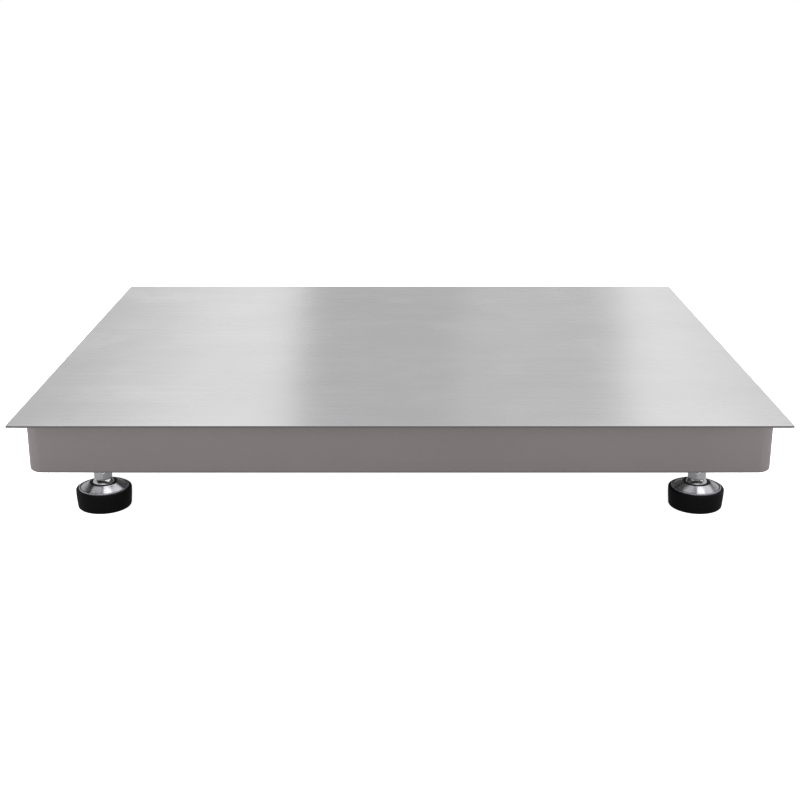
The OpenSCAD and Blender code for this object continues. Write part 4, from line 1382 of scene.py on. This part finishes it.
def make_board():
    """Board, stand-offs, terminals, trimmers and small parts, hidden inside the box."""
    top = BOX_HIGH.z - 3 * MM - 8 * MM
    bm = bmesh.new()
    outline = rounded_outline(56 * MM, 26 * MM, 2 * MM, 4)
    grid = skin(bm, [[(x, y, z) for x, y in outline] for z in (top, top + 1.6 * MM)])
    for ring in grid:
        bm.faces.new(ring)
    on_platform("adding_board", as_mesh(bm, "adding_board", [BOARD], 30), "summing_board")
    parts = (("board_terminals", TERMINAL, (6, 9, 8),
              [(x + d, -21.5, -4) for x in (-36, -12, 12, 36) for d in (-6, 0, 6)]
              + [(d, 21.5, -4) for d in (-9, -3, 3, 9)]),
             ("board_trimmers", TERMINAL, (6, 7, 6), [(x, -4.5, -3) for x in (-36, -12, 12, 36)]),
             ("board_chips", NYLON, (3.2, 1.6, 0.7),
              [(x, y, -0.35) for y in (2, 6, 10) for x in range(-48, 49, 8)]))
    for name, material, (w, d, h), spots in parts:
        bm = bmesh.new()
        bmesh.ops.create_cube(bm, size=1)
        bmesh.ops.scale(bm, vec=(w * MM, d * MM, h * MM), verts=bm.verts)
        bmesh.ops.bevel(bm, geom=bm.edges[:], offset=min(h * 0.12, 0.4) * MM, segments=2,
                        affect="EDGES")
        if h > 5:
            turned(bm,
                   [(0, -h / 2 * MM - 0.3 * MM), (1.6 * MM, -h / 2 * MM - 0.3 * MM),
                    (1.9 * MM, -h / 2 * MM),
                        (1.9 * MM, 0), (0, 0)], 16)
        bm.normal_update()
        box_mapped(bm)
        part = as_mesh(bm, name, [material])
        places = [((x * MM, y * MM, top + z * MM), UPRIGHT) for x, y, z in spots]
        on_platform(name, set_out(name, part, places, material), "summing_board", False)
    bm = bmesh.new()
    turned(bm, eased([(0, 0), (3 * MM, 0), (3 * MM, 6.4 * MM), (0, 6.4 * MM)], 0.3 * MM), 32)
    post = as_mesh(bm, "board_post", [NYLON])
    places = [((x * MM, y * MM, top + 1.6 * MM), UPRIGHT) for x in (-44, 44) for y in (-20, 20)]
    on_platform("board_posts", set_out("board_posts", post, places, NYLON), "summing_board", False)


def make_socket():
    """Round connector on the rear skirt: threaded shell, flange, insert and five pins."""
    face = SKIRT_BACK
    place = Matrix.Translation((0, face, SOCKET_Z)) @ Matrix.Rotation(-math.pi / 2, 4, "X")
    bore, back = 2.55 * MM, -30 * MM
    shell = [(6 * MM, 4 * MM), (6 * MM, 11.6 * MM), (6.3 * MM, 12 * MM), (6.7 * MM, 12 * MM),
             (6.7 * MM, 2 * MM),
             (9.9 * MM, 2 * MM), (10.5 * MM, 1.5 * MM), (10.5 * MM, 0.0), (8 * MM, 0.0),
             (8 * MM, -16 * MM),
             (5.5 * MM, -16 * MM), (5.5 * MM, back + 1 * MM), (5.0 * MM, back), (bore, back),
             (bore, back + 7 * MM),
             (0, back + 7 * MM)]
    bm = bmesh.new()
    turned(bm, [(0, 4 * MM)] + eased(shell, 0.3 * MM), 72)
    body = as_mesh(bm, "connector_shell", [CONNECTOR_METAL])
    ridge = grown("connector_thread", THREAD, [(0, 0, 0)], CONNECTOR_METAL, Radius=7.5 * MM,
                  Pitch=1 * MM,
                  Length=9.4 * MM, Sides=48)
    ridge = without_caps(ridge)
    whole = united("round_connector", CONNECTOR_METAL, body, ridge,
                   places=(place, place @ Matrix.Translation((0, 0, 2.2 * MM))))
    on_platform("round_connector", whole, "indicator_socket")
    bm = bmesh.new()
    turned(bm,
           eased([(0, 3.9 * MM), (5.98 * MM, 3.9 * MM), (5.98 * MM, 6.0 * MM), (5.3 * MM, 6.0 * MM),
                      (5.1 * MM, 5.6 * MM), (0, 5.6 * MM)], 0.2 * MM), 48)
    insert = placed(as_mesh(bm, "connector_insert", [NYLON]), "connector_insert", place)
    on_platform("connector_insert", insert, "indicator_socket", False)
    bm = bmesh.new()
    turned(bm,
           [(0, 5 * MM), (0.7 * MM, 5 * MM), (0.7 * MM, 8.4 * MM), (0.5 * MM, 8.9 * MM),
            (0, 9 * MM)], 16)
    pin = as_mesh(bm, "connector_pin", [PIN_GOLD])
    pins = placed(ring_of("connector_pins", pin, 5, 3.6 * MM, PIN_GOLD), "connector_pins", place)
    on_platform("connector_pins", pins, "indicator_socket", False)


def without_caps(mesh):
    """Drops the end faces of a thread's core, so that the shell inside shows."""
    bm = bmesh.new()
    bm.from_mesh(mesh)
    inner = [face for face in bm.faces if len(face.verts) > 4]
    bmesh.ops.delete(bm, geom=inner, context="FACES")
    bm.to_mesh(mesh)
    bm.free()
    return mesh


# ---------- the other nodes ----------

def finish_frame_nodes():
    """Beams, ribs, cells, box and small parts: CAD shapes with eased edges."""
    table = (
        ("left_cross_beam", "left_cross_channel", FRAME_STEEL, "Y", 0.4),
        ("right_cross_beam", "right_cross_channel", FRAME_STEEL, "Y", 0.4),
        ("inner_ribs", "inner_channels", FRAME_STEEL, "X", 0.3),
        ("side_ribs", "side_channels", FRAME_STEEL, "X", 0.3),
        ("cell_plates", "mounting_plates", FRAME_STEEL, "X", 0.6),
        ("cell_spacers", "spacer_plates", ZINC, "X", 0.3),
        ("junction_box_body", "box_shell", BOX_PLASTIC, "X", 0.5),
        ("junction_box_gasket", "box_seal", GASKET_RUBBER, "X", 0.1),
        ("junction_box_cover", "box_lid", BOX_PLASTIC, "X", 0.8),
        ("junction_box_screws", "box_screws", ZINC, "Z", 0.1),
        ("cable_clips", "nylon_clips", NYLON, "X", 0.2),
        ("socket_nut", "connector_nut", CONNECTOR_METAL, "Y", 0.2),
    )
    for node, name, material, along, edge in table:
        softened_node(node, name, material, along, edge * MM)
    for corner in CORNERS:
        softened_node(f"{corner}_load_cell", f"{corner}_shear_beam", CELL_STEEL, "X", 0.7 * MM, 3)


SCENE.view_settings.view_transform = "Standard"
make_camera()
make_world()
make_lights()
make_floor()
make_deck()
make_skirts()
make_feet()
make_deck_fastenings()
make_cell_fastenings()
make_welds()
make_cables()
make_glands()
make_board()
make_socket()
finish_frame_nodes()
